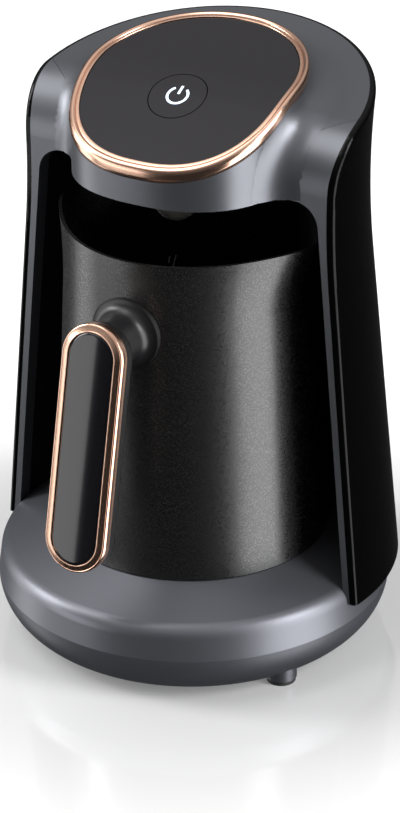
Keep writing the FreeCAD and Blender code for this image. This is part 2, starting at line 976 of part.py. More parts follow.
def stud_rod(name, radius, front, back):
    # A cylinder along Y at the stud's height, from its front end to its back end
    return rod(name, radius, as_size(back) - as_size(front), 0, back, stud_height, 90)


def at_level(level):
    level = as_size(level).value
    return lambda edge: abs(edge.BoundBox.ZMin - level) < 0.01 and abs(edge.BoundBox.ZMax - level) < 0.01


def build_handle():
    width, length = cell("grip_width"), cell("grip_length")
    depth, trim_depth = cell("grip_depth"), cell("trim_depth")
    trim, thin = cell("trim_width"), cell("insert_thickness")
    face_width = width - trim * 2 - cell("insert_gap") * 2
    face_length = length - trim * 2 - cell("insert_gap") * 2
    wall = pot_wall_at_stud()
    front = -(grip_out - (stud_height - grip_mid_height) * tangent(grip_tilt))
    screw_seat = front + thin + 5.0
    shank = cell("handle_screw_radius")

    def grip_block(name, low_depth):
        body = new_body(name)
        solid = pad(
            body, name + "_pad", "XY_Plane",
            lambda sketch: capsule_outline(sketch, width - 0.6, length - 0.6),
            depth - low_depth, lift=-depth,
        )
        round_edges(body, name + "_round", solid, cell("grip_back_round"), at_level(-depth))
        return body

    back = grip_block("grip_back", trim_depth)
    pad(
        back, "grip_core", "XY_Plane",
        lambda sketch: capsule_outline(sketch, face_width, face_length),
        trim_depth - thin - 0.05 + 1, lift=-trim_depth - 1,
    )
    place_grip(back)
    bore = stud_rod("grip_screw_bore", shank + 0.1, front - 10, -45.0)
    recess = stud_rod("grip_screw_recess", shank * 2, front - 10, screw_seat)
    keep("handle_grip", cut("handle_grip", back, bore, recess))

    rim = new_body("handle_trim")
    solid = pad(
        rim, "trim_pad", "XY_Plane", lambda sketch: capsule_outline(sketch, width, length),
        trim_depth, lift=-trim_depth,
    )
    round_edges(rim, "trim_outer_round", solid, cell("trim_round"), at_level(0.0))
    pocket(
        rim, "trim_opening", "XY_Plane",
        lambda sketch: capsule_outline(sketch, width - trim * 2, length - trim * 2),
        trim_depth * 2, lift=trim_depth / 2,
    )
    keep("handle_trim", place_grip(rim))

    insert = new_body("handle_insert")
    face = pad(
        insert, "insert_pad", "XY_Plane",
        lambda sketch: capsule_outline(sketch, face_width, face_length), thin, lift=-thin,
    )
    round_edges(insert, "insert_round", face, 0.5, at_level(0.0))
    keep("handle_insert", place_grip(insert))

    # The stud flares where it meets the pot, and is hollow round the weld nut
    stud = new_body("stud_body")
    flare, neck = cell("stud_flare"), cell("stud_radius")
    curve = flare - neck
    foot = -wall + 0.3
    revolve(stud, "stud_turn", [
        (0, -wall - 4),
        (flare, -wall - 4),
        (flare, foot),
        (neck, foot + curve, curve, -1),
        (neck, -front - 5),
        (0, -front - 5),
    ])
    place(stud, 0, 0, stud_height, 90)
    grip_room = place_grip(grip_block("grip_room", as_size(0.0)))
    pot_room = new_body("pot_room")
    revolve(pot_room, "pot_room_turn", [
        (0, plate_top),
        (pot_foot_radius + 0.05, plate_top),
        (pot_rim_radius + 0.05, pot_top),
        (0, pot_top),
    ])
    place(pot_room)
    nut_end = wall - cell("nut_length")
    nut_room = stud_rod("nut_room", cell("nut_radius") + 0.1, nut_end - 0.1, -30.0)
    screw_room = stud_rod("stud_screw_bore", shank + 0.1, front - 10, -30.0)
    keep("handle_stud", cut("handle_stud", stud, pot_room, grip_room, nut_room, screw_room))

    nut = stud_rod("nut_rod", cell("nut_radius"), nut_end, -30.0)
    thread = stud_rod("nut_thread", shank + screw_play, nut_end - 1, wall - 1)
    keep("handle_weld_nut", cut("handle_weld_nut", nut, pot_room, thread))

    head_height = cell("screw_head_height")
    screw = screw_solid("handle_screw", shank, shank * 2 - 0.2, head_height, wall - 1.5 - screw_seat)
    keep("handle_screw", place(screw, 0, screw_seat - head_height, stud_height, -90))


# Column

cover_inset = cell("shell_wall") + fit_gap / 2
head_inset = cell("ring_width") - cell("ring_step")
plate_level = niche_height + cell("underside_thickness")


def build_rear_shell():
    solid = common(
        "shell_solid",
        column_form("shell_outside", 0.0, ledge_height, column_top),
        crown_form("shell_side", 0.0, 0.0),
    )
    inside = column_form("shell_inside", cell("shell_wall"), ledge_height - 5, column_top + 5)
    wall = cut("shell_wall_ring", solid, inside)
    document.recompute()
    edges = []
    for number, edge in enumerate(wall.Shape.Edges):
        middle = edge.valueAt((edge.FirstParameter + edge.LastParameter) / 2)
        centre_y = axis_y.value + sheet.get("column_back")
        radius = math.hypot(middle.x, middle.y - centre_y)
        outer = outer_radius_at(middle.z)
        if abs(radius - outer) < 0.3 and middle.z > 100 and edge.Length > 5:
            edges.append((number + 1, sheet.get("shell_edge_round"), sheet.get("shell_edge_round")))
    rounded = document.addObject("Part::Fillet", "shell_rounded")
    rounded.Base = wall
    rounded.Edges = edges

    # A flange turned in at the foot stands on the base's ledge, behind the arms
    flange = common(
        "shell_flange",
        column_form("flange_round", 1.0, ledge_height, ledge_height + 2.2),
        crown_form("flange_side", cell("arm_depth") + fit_gap, 0.0),
    )
    boss_rooms = [
        rod("boss_room_%d" % number, boss_radius + fit_gap, 10.0, x, column_screw_y, 20.0)
        for number, x in enumerate((-column_screw_x, column_screw_x))
    ]
    cable_room = rod("cable_room", cell("cable_radius") + 0.1, 20.0, 12, cable_y, 18.0)
    niche_room = niche_form("flange_niche", cell("liner_wall") + fit_gap, ledge_height - 5)
    foot = cut("shell_foot", flange, niche_room, cable_room, *boss_rooms)
    keep("rear_shell", fuse("rear_shell", rounded, foot))


def outer_radius_at(height):
    start, waist, bend = bend_start_height.value, waist_radius.value, sheet.get("waist_bend")
    offset = waist_height.value

    def curved(level):
        return waist + bend - math.sqrt(bend * bend - (level - offset) ** 2)

    if height >= start:
        return curved(height)
    foot, low = column_foot_radius.value, sheet.get("ledge_height")
    return foot + (curved(start) - foot) * (height - low) / (start - low)


def power_board_screws():
    half = cell("power_board_width") / 2 - 4
    low = cell("power_board_low") + 4
    high = cell("power_board_low") + cell("power_board_height") - 4
    return [(-half, low), (half, low), (-half, high), (half, high)]


def build_niche_liner():
    wall = cell("liner_wall")
    skin = common(
        "liner_trimmed",
        niche_form("liner_outside", wall, ledge_height),
        crown_form("liner_side", cell("arm_depth") + fit_gap / 2, 0.0),
    )
    above = block("liner_above", plain_reach * 2, plain_reach * 2, 50.0, 0, -plain_reach, niche_height)
    front = column_foot_radius - cell("power_board_inset")
    bosses = [
        rod("column_boss_%d" % number, boss_radius, 14.0, x, column_screw_y, ledge_height)
        for number, x in enumerate((-column_screw_x, column_screw_x))
    ]
    standoffs = [
        rod("board_standoff_%d" % number, 3.0, front - 40, x, 40.0, z, -90)
        for number, (x, z) in enumerate(power_board_screws())
    ]
    column_bores = [
        rod("column_bore_%d" % number, screw_radius + screw_play, 12.0, x, column_screw_y, ledge_height - 1)
        for number, x in enumerate((-column_screw_x, column_screw_x))
    ]
    board_bores = [
        rod("standoff_bore_%d" % number, screw_radius + screw_play, 6.0, x, front - 4, z, -90)
        for number, (x, z) in enumerate(power_board_screws())
    ]
    solid = fuse("liner_with_bosses", skin, *bosses, *standoffs)
    bores = fuse("liner_bores", *column_bores, *board_bores)
    niche_room = niche_form("liner_room", 0.0, ledge_height - 5)
    keep("niche_liner", cut("niche_liner", solid, niche_room, above, bores))


def build_column_screws():
    head_height = cell("screw_head_height")
    screws = []
    for number, x in enumerate((-column_screw_x, column_screw_x)):
        body = screw_solid("column_screw_%d" % number, screw_radius, cell("screw_head"), head_height,
                           cell("ledge_height") - ledge_bottom + 9.0)
        screws.append(place(body, x, column_screw_y, ledge_bottom - head_height))
    keep("column_screws", fuse("column_screws", *screws))


# Head covers

cover_screws = [(-36.0, -1.0), (36.0, -1.0), (-27.0, 24.0), (27.0, 24.0), (-30.0, -14.0), (30.0, -14.0)]


def head_cavity(name):
    # Room inside the covers: the column's and the drum's forms, one wall smaller
    wall = cell("cover_wall")
    round_room = common(
        name + "_column",
        column_form(name + "_round", cover_inset + wall, niche_height - 1, column_top),
        crown_form(name + "_side", wall, 0.0),
    )
    drum_room = common(
        name + "_drum",
        oval_column(name + "_oval", head_inset - wall, niche_height - 1, column_top + 16),
        panel_form(name + "_roof", cell("ring_skirt") + cell("shelf_thickness")),
    )
    mouth = oval_column(name + "_mouth", -cell("panel_shelf"), column_top - 29, column_top + 26)
    return fuse(name, round_room, drum_room, mouth)


def parting_wedge(name, shift):
    # All that lies behind the parting: straight across under the panel, slanted outside the drum
    shift = as_size(shift)
    slope = tangent(cell("parting_angle"))
    side = cell("parting_side")
    front = shift - cell("parting_front")
    far = front + slope * (plain_reach - side)
    body = new_body(name)

    def draw(sketch):
        outline(sketch, [
            (-side, front),
            (side, front),
            (plain_reach, far),
            (plain_reach, plain_reach * 2),
            (-plain_reach, plain_reach * 2),
            (-plain_reach, far),
        ])

    pad(body, name + "_pad", "XY_Plane", draw, 300.0)
    return place(body)


def ring_seat(name):
    # Everything above the level that the ring and the panel rest on
    return cut(
        name,
        oval_column(name + "_oval", cell("ring_width") + 5, niche_height - 22, column_top + 26),
        panel_form(name + "_level", cell("ring_skirt") + 0.05),
    )


def blend_drum(joined):
    # Rounds the inside corner where the drum grows out of the column
    half = sheet.get("oval_half_width") + head_inset.value
    chosen = []
    for number, edge in enumerate(joined.Shape.Edges):
        middle = edge.valueAt((edge.FirstParameter + edge.LastParameter) / 2)
        y = middle.y - axis_y.value
        on_oval = abs(math.hypot(middle.x, y - sheet.get("oval_centre")) - half) < 3.0
        seat_level = surface_level(middle.y) - sheet.get("ring_skirt")
        if on_oval and niche_height.value + 0.1 < middle.z < seat_level - 1.5 and y > -13:
            chosen.append((number + 1, sheet.get("drum_blend"), sheet.get("drum_blend")))
    rounded = document.addObject("Part::Fillet", "head_blended")
    rounded.Base = joined
    rounded.Edges = chosen
    return rounded


def surface_level(y):
    # The panel's height at a place along the machine
    y = y - axis_y.value
    slope = sheet.get("rear_slope") if y > 0 else sheet.get("front_slope")
    return panel_bend_height.value + y * math.tan(math.radians(slope))


def build_head_covers():
    column = common(
        "head_column",
        column_form("head_round", cover_inset, niche_height, column_top),
        crown_form("head_side", 0.0, 0.0),
    )
    drum = common(
        "head_drum",
        oval_column("head_oval", head_inset, niche_height, column_top + 26),
        panel_form("head_roof", cell("ring_skirt")),
    )
    joined = fuse("head_joined", column, drum)
    document.recompute()
    blended = blend_drum(joined)
    hollow = cut("head_hollow", blended, head_cavity("head_cavity"))
    rods = []
    bores = []
    for number, (x, y) in enumerate(cover_screws):
        height = 14.0 if y < -10 else 40.0
        rods.append(rod("cover_boss_%d" % number, boss_radius, height, x, y, plate_level))
        bores.append(rod("cover_bore_%d" % number, screw_radius + screw_play, 10.0, x, y, niche_height))
    bosses = common("cover_bosses", fuse("cover_boss_rods", *rods), blended)
    whole = cut(
        "head_whole", fuse("head_with_bosses", hollow, bosses),
        ring_seat("ring_seat"), fuse("cover_bores", *bores),
    )
    front = cut("front_head", whole, parting_wedge("front_wedge", -cell("parting_gap") / 2))
    keep("front_fascia", fuse("front_fascia", front, arm_strips("arm_strips")))
    rear = common("top_rear_cover", whole, parting_wedge("rear_wedge", cell("parting_gap") / 2))
    keep("top_rear_cover", rear)


def arm_strips(name):
    # The two strips in front of the niche, between its edge and the shell
    outside = common(
        name + "_solid",
        column_form(name + "_round", cover_inset, ledge_height, niche_height),
        crown_form(name + "_side", 0.0, 0.0),
    )
    behind = crown_form(name + "_behind", cell("arm_depth"), 0.0)
    return cut(name, outside, niche_form(name + "_niche", 0.0, ledge_height - 5), behind)


# Pieces square to the panel at the button: +Z out of the panel, +Y up its slope

def place_on_panel(item, x=0.0, along=0.0, lift=0.0, turned_in=False):
    tilt = cell("button_tilt")
    along, lift = as_size(along), as_size(lift)
    y = -cell("button_forward") + along * cosine(tilt) - lift * sine(tilt)
    z = button_height + along * sine(tilt) + lift * cosine(tilt)
    return place(item, x, y, z, tilt + 180 if turned_in else tilt)


def panel_rod(name, radius, length, x, along, lift):
    cylinder = document.addObject("Part::Cylinder", name)
    bind(cylinder, "Radius", radius)
    bind(cylinder, "Height", length)
    return place_on_panel(cylinder, x, along, lift)


def rectangle(sketch, width, length):
    half_width, half_length = as_size(width) / 2, as_size(length) / 2
    outline(sketch, [
        (-half_width, -half_length), (half_width, -half_length),
        (half_width, half_length), (-half_width, half_length),
    ])


def panel_block(name, width, length, height, lift, x=0.0, along=0.0):
    body = new_body(name)
    pad(body, name + "_pad", "XY_Plane", lambda sketch: rectangle(sketch, width, length), height)
    return place_on_panel(body, x, along, lift)


board_top = -cell("board_depth")
board_under = board_top - cell("board_thickness")


def board_screw_points():
    half_width = cell("board_width") / 2 - 4
    half_length = cell("board_length") / 2 - 4
    return [(side * half_width, end * half_length) for side in (-1, 1) for end in (-1, 1)]


def dome_form(name, grow, depth):
    # A half egg that hangs under the head
    egg = document.addObject("Part::Ellipsoid", name)
    grow, depth = as_size(grow), as_size(depth)
    bind(egg, "Radius1", depth + grow)
    bind(egg, "Radius2", cell("dome_half_width") + grow)
    bind(egg, "Radius3", cell("dome_half_length") + grow)
    return place(egg, 0, -cell("dome_forward"), plate_level)


def build_underside():
    # The plate that closes the head from below, over the niche and inside the drum
    thick = cell("underside_thickness")
    inset = cell("cover_wall") + fit_gap
    plate = fuse(
        "underside_plate",
        oval_column("underside_oval", head_inset - inset, niche_height, plate_level),
        common(
            "underside_disc",
            column_form("underside_round", cover_inset + inset, niche_height, plate_level),
            crown_form("underside_side", inset, 0.0),
        ),
    )
    posts = []
    bores = []
    tilt = cell("button_tilt")
    depth = cell("board_depth") + cell("board_thickness") + 3
    for number, (x, along) in enumerate(board_screw_points()):
        y = -cell("button_forward") + along * cosine(tilt) + depth * sine(tilt)
        posts.append(rod("board_post_%d" % number, cell("post_radius"), 40.0, x, y, niche_height))
        bores.append(panel_rod("post_bore_%d" % number, screw_radius + screw_play, 9.0, x, along,
                               board_under - 8))
    over_posts = panel_block("over_posts", 200.0, 200.0, 60.0, board_under)
    post_group = cut("board_posts", fuse("board_post_rods", *posts), over_posts)
    holes = [
        rod("underside_hole_%d" % number, screw_radius + screw_play, 10.0, x, y, niche_height - 4)
        for number, (x, y) in enumerate(cover_screws)
    ]
    keep("head_underside", cut(
        "head_underside", fuse("underside_solid", plate, post_group),
        dome_form("dome_window", fit_gap, cell("dome_drop")),
        fuse("underside_bores", *bores, *holes),
    ))

    head_height = cell("screw_head_height")
    screws = []
    for number, (x, y) in enumerate(cover_screws):
        body = screw_solid("underside_screw_%d" % number, screw_radius, cell("screw_head"), head_height,
                           thick + 7.0)
        screws.append(place(body, x, y, niche_height - head_height))
    keep("underside_screws", fuse("underside_screws", *screws))


def build_sensor():
    wall, flange = cell("dome_wall"), cell("dome_flange")
    thick = 1.2
    shell = cut(
        "dome_shell",
        dome_form("dome_outside", 0.0, cell("dome_drop")),
        dome_form("dome_inside", -wall, cell("dome_drop")),
        block("dome_above", 100.0, 100.0, 60.0, 0, -50.0, plate_level),
    )
    slab = block("dome_slab", 100.0, 100.0, thick, 0, -50.0, plate_level)
    rim = cut(
        "dome_rim",
        common("dome_rim_solid", slab, dome_form("dome_rim_outside", flange, cell("dome_drop") * 4)),
        dome_form("dome_rim_inside", -wall, cell("dome_drop") * 4),
    )
    keep("sensor_dome", fuse("sensor_dome", shell, rim))

    board_level = plate_level + thick
    board = new_body("sensor_board")
    pad(
        board, "sensor_board_pad", "XY_Plane",
        lambda sketch: rectangle(sketch, cell("sensor_board_width"), cell("sensor_board_length")), 1.2,
    )
    keep("sensor_board", place(board, 0, -cell("dome_forward"), board_level))
    can = rod("infrared_sensor", cell("sensor_radius"), cell("sensor_length"), 0, -cell("dome_forward"),
              board_level - cell("sensor_length"))
    keep("infrared_sensor", can)


# Copper ring, panel and button

def build_ring_and_panel():
    band = common(
        "ring_band",
        oval_column("ring_outer", cell("ring_width"), niche_height - 22, column_top + 26),
        panel_form("ring_top", -cell("ring_proud")),
    )
    ring = cut("ring_solid", band, oval_column("ring_inner", 0.0, niche_height - 32, column_top + 36),
               panel_form("ring_bottom", cell("ring_skirt")))
    document.recompute()
    edges = []
    for number, edge in enumerate(ring.Shape.Edges):
        middle = edge.valueAt((edge.FirstParameter + edge.LastParameter) / 2)
        level = surface_level(middle.y) + sheet.get("ring_proud")
        if abs(middle.z - level) < 1.2 and edge.Length > 5:
            edges.append((number + 1, sheet.get("ring_round"), sheet.get("ring_round")))
    rounded = document.addObject("Part::Fillet", "copper_ring")
    rounded.Base = ring
    rounded.Edges = edges
    keep("copper_ring", rounded)

    plate = common(
        "panel_plate",
        oval_column("panel_oval", -fit_gap, niche_height - 22, column_top + 26),
        panel_form("panel_top", 0.0),
    )
    thin = cut("panel_thin", plate, panel_form("panel_under", cell("panel_thickness")))
    hole = cell("button_radius") + cell("button_gap")
    collar = common(
        "panel_collar",
        panel_rod("collar_tube", hole + cell("collar_wall"), cell("collar_depth") + 5, 0, 0,
                  -cell("collar_depth")),
        panel_form("collar_top", 1.0),
    )
    bore = panel_rod("button_hole", hole, 40.0, 0, 0, -20.0)
    keep("control_panel", cut("control_panel", fuse("panel_with_collar", thin, collar), bore))


def build_button():
    radius, skin = cell("button_radius"), cell("button_skin")
    top = cut(
        "button_top",
        common("button_disc", panel_rod("button_tube", radius, 30.0, 0, 0, -20.0),
               panel_form("button_face", 0.0)),
        panel_form("button_inside", skin),
    )
    skirt_depth = cell("button_skirt")
    skirt_ring = cut(
        "skirt_ring",
        panel_rod("skirt_outside", radius, skirt_depth + 4, 0, 0, -skirt_depth),
        panel_rod("skirt_inside", radius - 1.2, skirt_depth + 8, 0, 0, -skirt_depth - 2),
    )
    skirt = common("button_skirt", skirt_ring, panel_form("skirt_top", 0.8))
    stem_length = cell("board_depth") - cell("switch_height") - cell("plunger_height") - screw_play
    stem = common(
        "button_stem",
        panel_rod("stem_rod", cell("stem_radius"), stem_length + 4, 0, cell("stem_offset"), -stem_length),
        panel_form("stem_top", 0.8),
    )
    cap = fuse("button_cap", top, skirt, stem)

    # The icon is a ring open at its top with a bar in the opening, standing on one round light guide
    icon = new_body("icon_guide")
    line, gap = cell("icon_line"), cell("icon_gap_angle")
    outer, inner = cell("icon_radius") + line / 2, cell("icon_radius") - line / 2
    rise = skin + 3

    def draw_ring(sketch):
        outline(sketch, [
            (outer * sine(gap), outer * cosine(gap), outer, 1),
            (inner * sine(gap), inner * cosine(gap)),
            (0, -inner, inner, -1),
            (-inner * sine(gap), inner * cosine(gap), inner, -1),
            (-outer * sine(gap), outer * cosine(gap)),
            (0, -outer, outer, 1),
        ])

    def draw_bar(sketch):
        half = line / 2
        outline(sketch, [(-half, 0.6), (half, 0.6), (half, outer + 0.3), (-half, outer + 0.3)])

    pad(icon, "guide_disc", "XY_Plane", lambda sketch: circle_at(sketch, 0, 0, outer + 0.8), 1.2,
        lift=-skin - 1.6)
    pad(icon, "icon_ring", "XY_Plane", draw_ring, rise, lift=-skin - 1.0)
    pad(icon, "icon_bar", "XY_Plane", draw_bar, rise, lift=-skin - 1.0)
    place_on_panel(icon)
    keep("power_button", cut("power_button", cap, icon))
    keep("button_icon_lens", common("button_icon_lens", icon, panel_form("icon_face", 0.0)))


# Control board, square to the button

def build_control_board():
    board = panel_block("control_board_plate", cell("board_width"), cell("board_length"),
                        cell("board_thickness"), board_under)
    holes = [
        panel_rod("board_hole_%d" % number, screw_radius + screw_play, 8.0, x, along, board_under - 3)
        for number, (x, along) in enumerate(board_screw_points())
    ]
    keep("control_board", cut("control_board", board, fuse("board_holes", *holes)))

    head_height = cell("screw_head_height")
    screws = []
    for number, (x, along) in enumerate(board_screw_points()):
        body = screw_solid("board_screw_%d" % number, screw_radius, cell("screw_head"), head_height,
                           cell("board_thickness") + 6.0)
        screws.append(place_on_panel(body, x, along, board_top + head_height, turned_in=True))
    keep("control_board_screws", fuse("control_board_screws", *screws))

    offset, height = cell("stem_offset"), cell("switch_height")
    size = cell("switch_size")
    switch = panel_block("switch_block", size, size, height, board_top, 0.0, offset)
    plunger = cell("plunger_radius")
    well = panel_rod("switch_well", plunger + screw_play, height, 0, offset, board_top + 0.4)
    keep("tact_switch", cut("tact_switch", switch, well))
    sunk = 1.9
    rise = panel_rod("switch_plunger", plunger, cell("plunger_height") + sunk, 0, offset,
                     board_top + height - sunk)
    keep("switch_plunger", rise)

    keep("button_light", panel_rod("button_light", cell("light_radius"), cell("light_height"), 0, -1.5,
                                   board_top))
    keep("buzzer", panel_rod("buzzer", cell("buzzer_radius"), cell("buzzer_height"), -14, 0, board_top))


# Power board, wiring and inlet in the back of the column

def build_power_parts():
    front, thick = column_foot_radius - cell("power_board_inset"), cell("board_thickness")
    width, height, low = cell("power_board_width"), cell("power_board_height"), cell("power_board_low")
    plate = block("power_plate", width, thick, height, 0, front, low)
    holes = [
        rod("power_hole_%d" % number, screw_radius + screw_play, 8.0, x, front - 3, z, -90)
        for number, (x, z) in enumerate(power_board_screws())
    ]
    keep("power_board", cut("power_board", plate, fuse("power_holes", *holes)))
    head_height = cell("screw_head_height")
    screws = []
    for number, (x, z) in enumerate(power_board_screws()):
        body = screw_solid("power_screw_%d" % number, screw_radius, cell("screw_head"), head_height, thick + 3.5)
        screws.append(place(body, x, front + thick + head_height, z, 90))
    keep("power_board_screws", fuse("power_board_screws", *screws))
    keep("power_relay", block("power_relay", 15.0, cell("relay_depth"), 19.0, -3.0, front + thick, low + 12))
    keep("board_capacitor", rod("board_capacitor", 4.5, 5.0, -6.0, front + thick, low + 44, -90))

    terminal = new_body("terminal_body")
    pad(terminal, "terminal_pad", "XY_Plane", lambda sketch: rectangle(sketch, 28.0, 12.0), 10.0)
    place(terminal, 0, seam_radius - 25, floor_top)
    wells = [
        rod("terminal_well_%d" % number, 2.0, 6.0, x, seam_radius - 25, floor_top + 6)
        for number, x in enumerate((-9.0, -3.0, 3.0, 9.0))
    ]
    keep("terminal_block", cut("terminal_block", terminal, fuse("terminal_wells", *wells)))

    inlet = new_body("cord_inlet")
    radius, hole = cell("inlet_radius"), cell("inlet_bore")
    revolve(inlet, "inlet_turn", [
        (hole, seam_radius - 10), (radius + 0.8, seam_radius - 10), (radius + 0.8, seam_radius - 8),
        (radius, seam_radius - 8), (radius, seam_radius + 0.4), (radius + 2, seam_radius + 0.4),
        (radius + 2, seam_radius + 2.4), (radius + 0.6, seam_radius + 3.4),
        (hole + 0.8, seam_radius + 3.4), (hole, seam_radius + 2.6),
    ])
    keep("cord_inlet", place(inlet, 0, 0, cell("inlet_height"), -90))

    cable = new_body("column_cable")
    path = new_sketch(cable, "cable_path", "YZ_Plane", as_size(12.0))
    low, turned_in = cable_y.value, cable_y.value - 4.05
    points = [Vector(low, 14, 0), Vector(low, 58, 0), Vector(turned_in, 98, 0), Vector(turned_in, 100.4, 0)]
    for start, end in zip(points, points[1:]):
        path.addGeometry(Part.LineSegment(start, end), False)
    for number in range(len(points) - 2):
        path.addConstraint(Sketcher.Constraint("Coincident", number, 2, number + 1, 1))
    ring = new_sketch(cable, "cable_section", "XY_Plane", as_size(14.0))
    circle_at(ring, 12.0, cable_y, cell("cable_radius"))
    sweep = cable.newObject("PartDesign::AdditivePipe", "cable_sweep")
    sweep.Profile = ring
    sweep.Spine = (path, ["Edge1", "Edge2", "Edge3"])
    sweep.Transition = "Round corner"
    cable.Tip = sweep
    keep("column_cable", place(cable))


build_base_bottom_cover()
build_feet()
build_base_top_cover()
build_base_screws()
build_heating_group()
build_rear_shell()
build_niche_liner()
build_column_screws()
build_head_covers()
build_underside()
build_sensor()
build_ring_and_panel()
build_button()
build_control_board()
build_power_parts()
build_pot()
build_handle()
document.recompute()

# Every step must be sound before the parts are written
for item in document.Objects:
    if "Invalid" in item.State or "Error" in item.State:
        raise RuntimeError(item.Name + " did not build")
os.makedirs("parts", exist_ok=True)
for item in sub_parts:
    if item.Shape.isNull() or not item.Shape.isValid():
        raise RuntimeError(item.Label + " is not a sound solid")
    if not item.Shape.Solids:
        raise RuntimeError(item.Label + " holds no solid")
for item in sub_parts:
    item.Shape.exportStep("parts/%s.step" % item.Label)
    box = item.Shape.BoundBox
    print("%-22s %2d solids %9.1f mm3  x %7.1f %7.1f  y %7.1f %7.1f  z %6.1f %6.1f" % (
        item.Label, len(item.Shape.Solids), item.Shape.Volume,
        box.XMin, box.XMax, box.YMin, box.YMax, box.ZMin, box.ZMax,
    ))
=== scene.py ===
import math

import bmesh
import bpy
import numpy as np
from mathutils import Matrix, Vector


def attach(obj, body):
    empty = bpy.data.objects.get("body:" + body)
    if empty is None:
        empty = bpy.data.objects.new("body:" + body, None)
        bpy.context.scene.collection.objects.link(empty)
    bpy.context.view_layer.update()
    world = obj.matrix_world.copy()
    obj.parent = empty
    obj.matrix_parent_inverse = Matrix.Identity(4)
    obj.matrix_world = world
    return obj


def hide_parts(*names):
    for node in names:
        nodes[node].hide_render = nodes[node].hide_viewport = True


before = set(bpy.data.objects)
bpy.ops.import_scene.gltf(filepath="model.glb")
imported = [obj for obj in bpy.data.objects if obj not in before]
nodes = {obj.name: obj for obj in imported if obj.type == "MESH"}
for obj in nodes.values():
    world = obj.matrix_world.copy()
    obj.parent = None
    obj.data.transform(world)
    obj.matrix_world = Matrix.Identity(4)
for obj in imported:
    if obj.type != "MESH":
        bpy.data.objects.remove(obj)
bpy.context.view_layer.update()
collection = bpy.context.scene.collection
print("frame loaded,", len(nodes), "nodes")

axisY = 0.0039875  # the machine's upright axis stands a little behind the footprint's centre


def newGroup(name, inputs, outputs):
    group = bpy.data.node_groups.new(name, "ShaderNodeTree")
    for label, default in inputs:
        socket = group.interface.new_socket(name=label, in_out="INPUT", socket_type="NodeSocketFloat")
        socket.default_value = default
    for label, kind in outputs:
        group.interface.new_socket(name=label, in_out="OUTPUT", socket_type=kind)
    return group, group.nodes.new("NodeGroupInput"), group.nodes.new("NodeGroupOutput")


def surfaceGrainGroup():
    # moulded or sprayed grain: a fine height, and a slow unevenness of tone
    look = {"grainDetail": 3.0, "cloudDetail": 4.0, "grainShare": 0.35}
    group, inputs, outputs = newGroup(
        "surfaceGrain", [("Grain Scale", 1500.0), ("Cloud Scale", 30.0)],
        [("Height", "NodeSocketFloat"), ("Tone", "NodeSocketFloat")])
    add, link = group.nodes.new, group.links.new
    coords = add("ShaderNodeTexCoord")
    grain = add("ShaderNodeTexNoise")
    grain.inputs["Detail"].default_value = look["grainDetail"]
    cloud = add("ShaderNodeTexNoise")
    cloud.inputs["Detail"].default_value = look["cloudDetail"]
    link(coords.outputs["Object"], grain.inputs["Vector"])
    link(coords.outputs["Object"], cloud.inputs["Vector"])
    link(inputs.outputs["Grain Scale"], grain.inputs["Scale"])
    link(inputs.outputs["Cloud Scale"], cloud.inputs["Scale"])
    blend = add("ShaderNodeMix")
    blend.data_type = "FLOAT"
    blend.inputs["Factor"].default_value = look["grainShare"]
    link(cloud.outputs["Fac"], blend.inputs["A"])
    link(grain.outputs["Fac"], blend.inputs["B"])
    link(grain.outputs["Fac"], outputs.inputs["Height"])
    link(blend.outputs["Result"], outputs.inputs["Tone"])
    return group


def flakeGroup():
    # bright specks in a dark coating
    group, inputs, outputs = newGroup(
        "coatingFlakes", [("Flake Scale", 2200.0), ("Threshold", 0.62)],
        [("Mask", "NodeSocketFloat"), ("Height", "NodeSocketFloat")])
    add, link = group.nodes.new, group.links.new
    coords = add("ShaderNodeTexCoord")
    cells = add("ShaderNodeTexVoronoi")
    link(coords.outputs["Object"], cells.inputs["Vector"])
    link(inputs.outputs["Flake Scale"], cells.inputs["Scale"])
    above = add("ShaderNodeMath")
    above.operation = "GREATER_THAN"
    bright = add("ShaderNodeSeparateColor")
    link(cells.outputs["Color"], bright.inputs["Color"])
    link(bright.outputs["Red"], above.inputs[0])
    link(inputs.outputs["Threshold"], above.inputs[1])
    link(above.outputs["Value"], outputs.inputs["Mask"])
    link(bright.outputs["Green"], outputs.inputs["Height"])
    return group


grainGroup = surfaceGrainGroup()
flakes = flakeGroup()


# what a finish has unless it says otherwise
plainFinish = {
    "metallic": 0.0, "specular": 0.5, "coat": 0.0, "coatRoughness": 0.1, "alpha": 1.0, "glow": None,
    "glowStrength": 0.0, "grainScale": 1800.0, "cloudScale": 25.0, "toneSpread": 0.08,
    "roughSpread": 0.04, "smoothest": 0.01, "relief": 0.0, "reliefDepth": 0.00005}


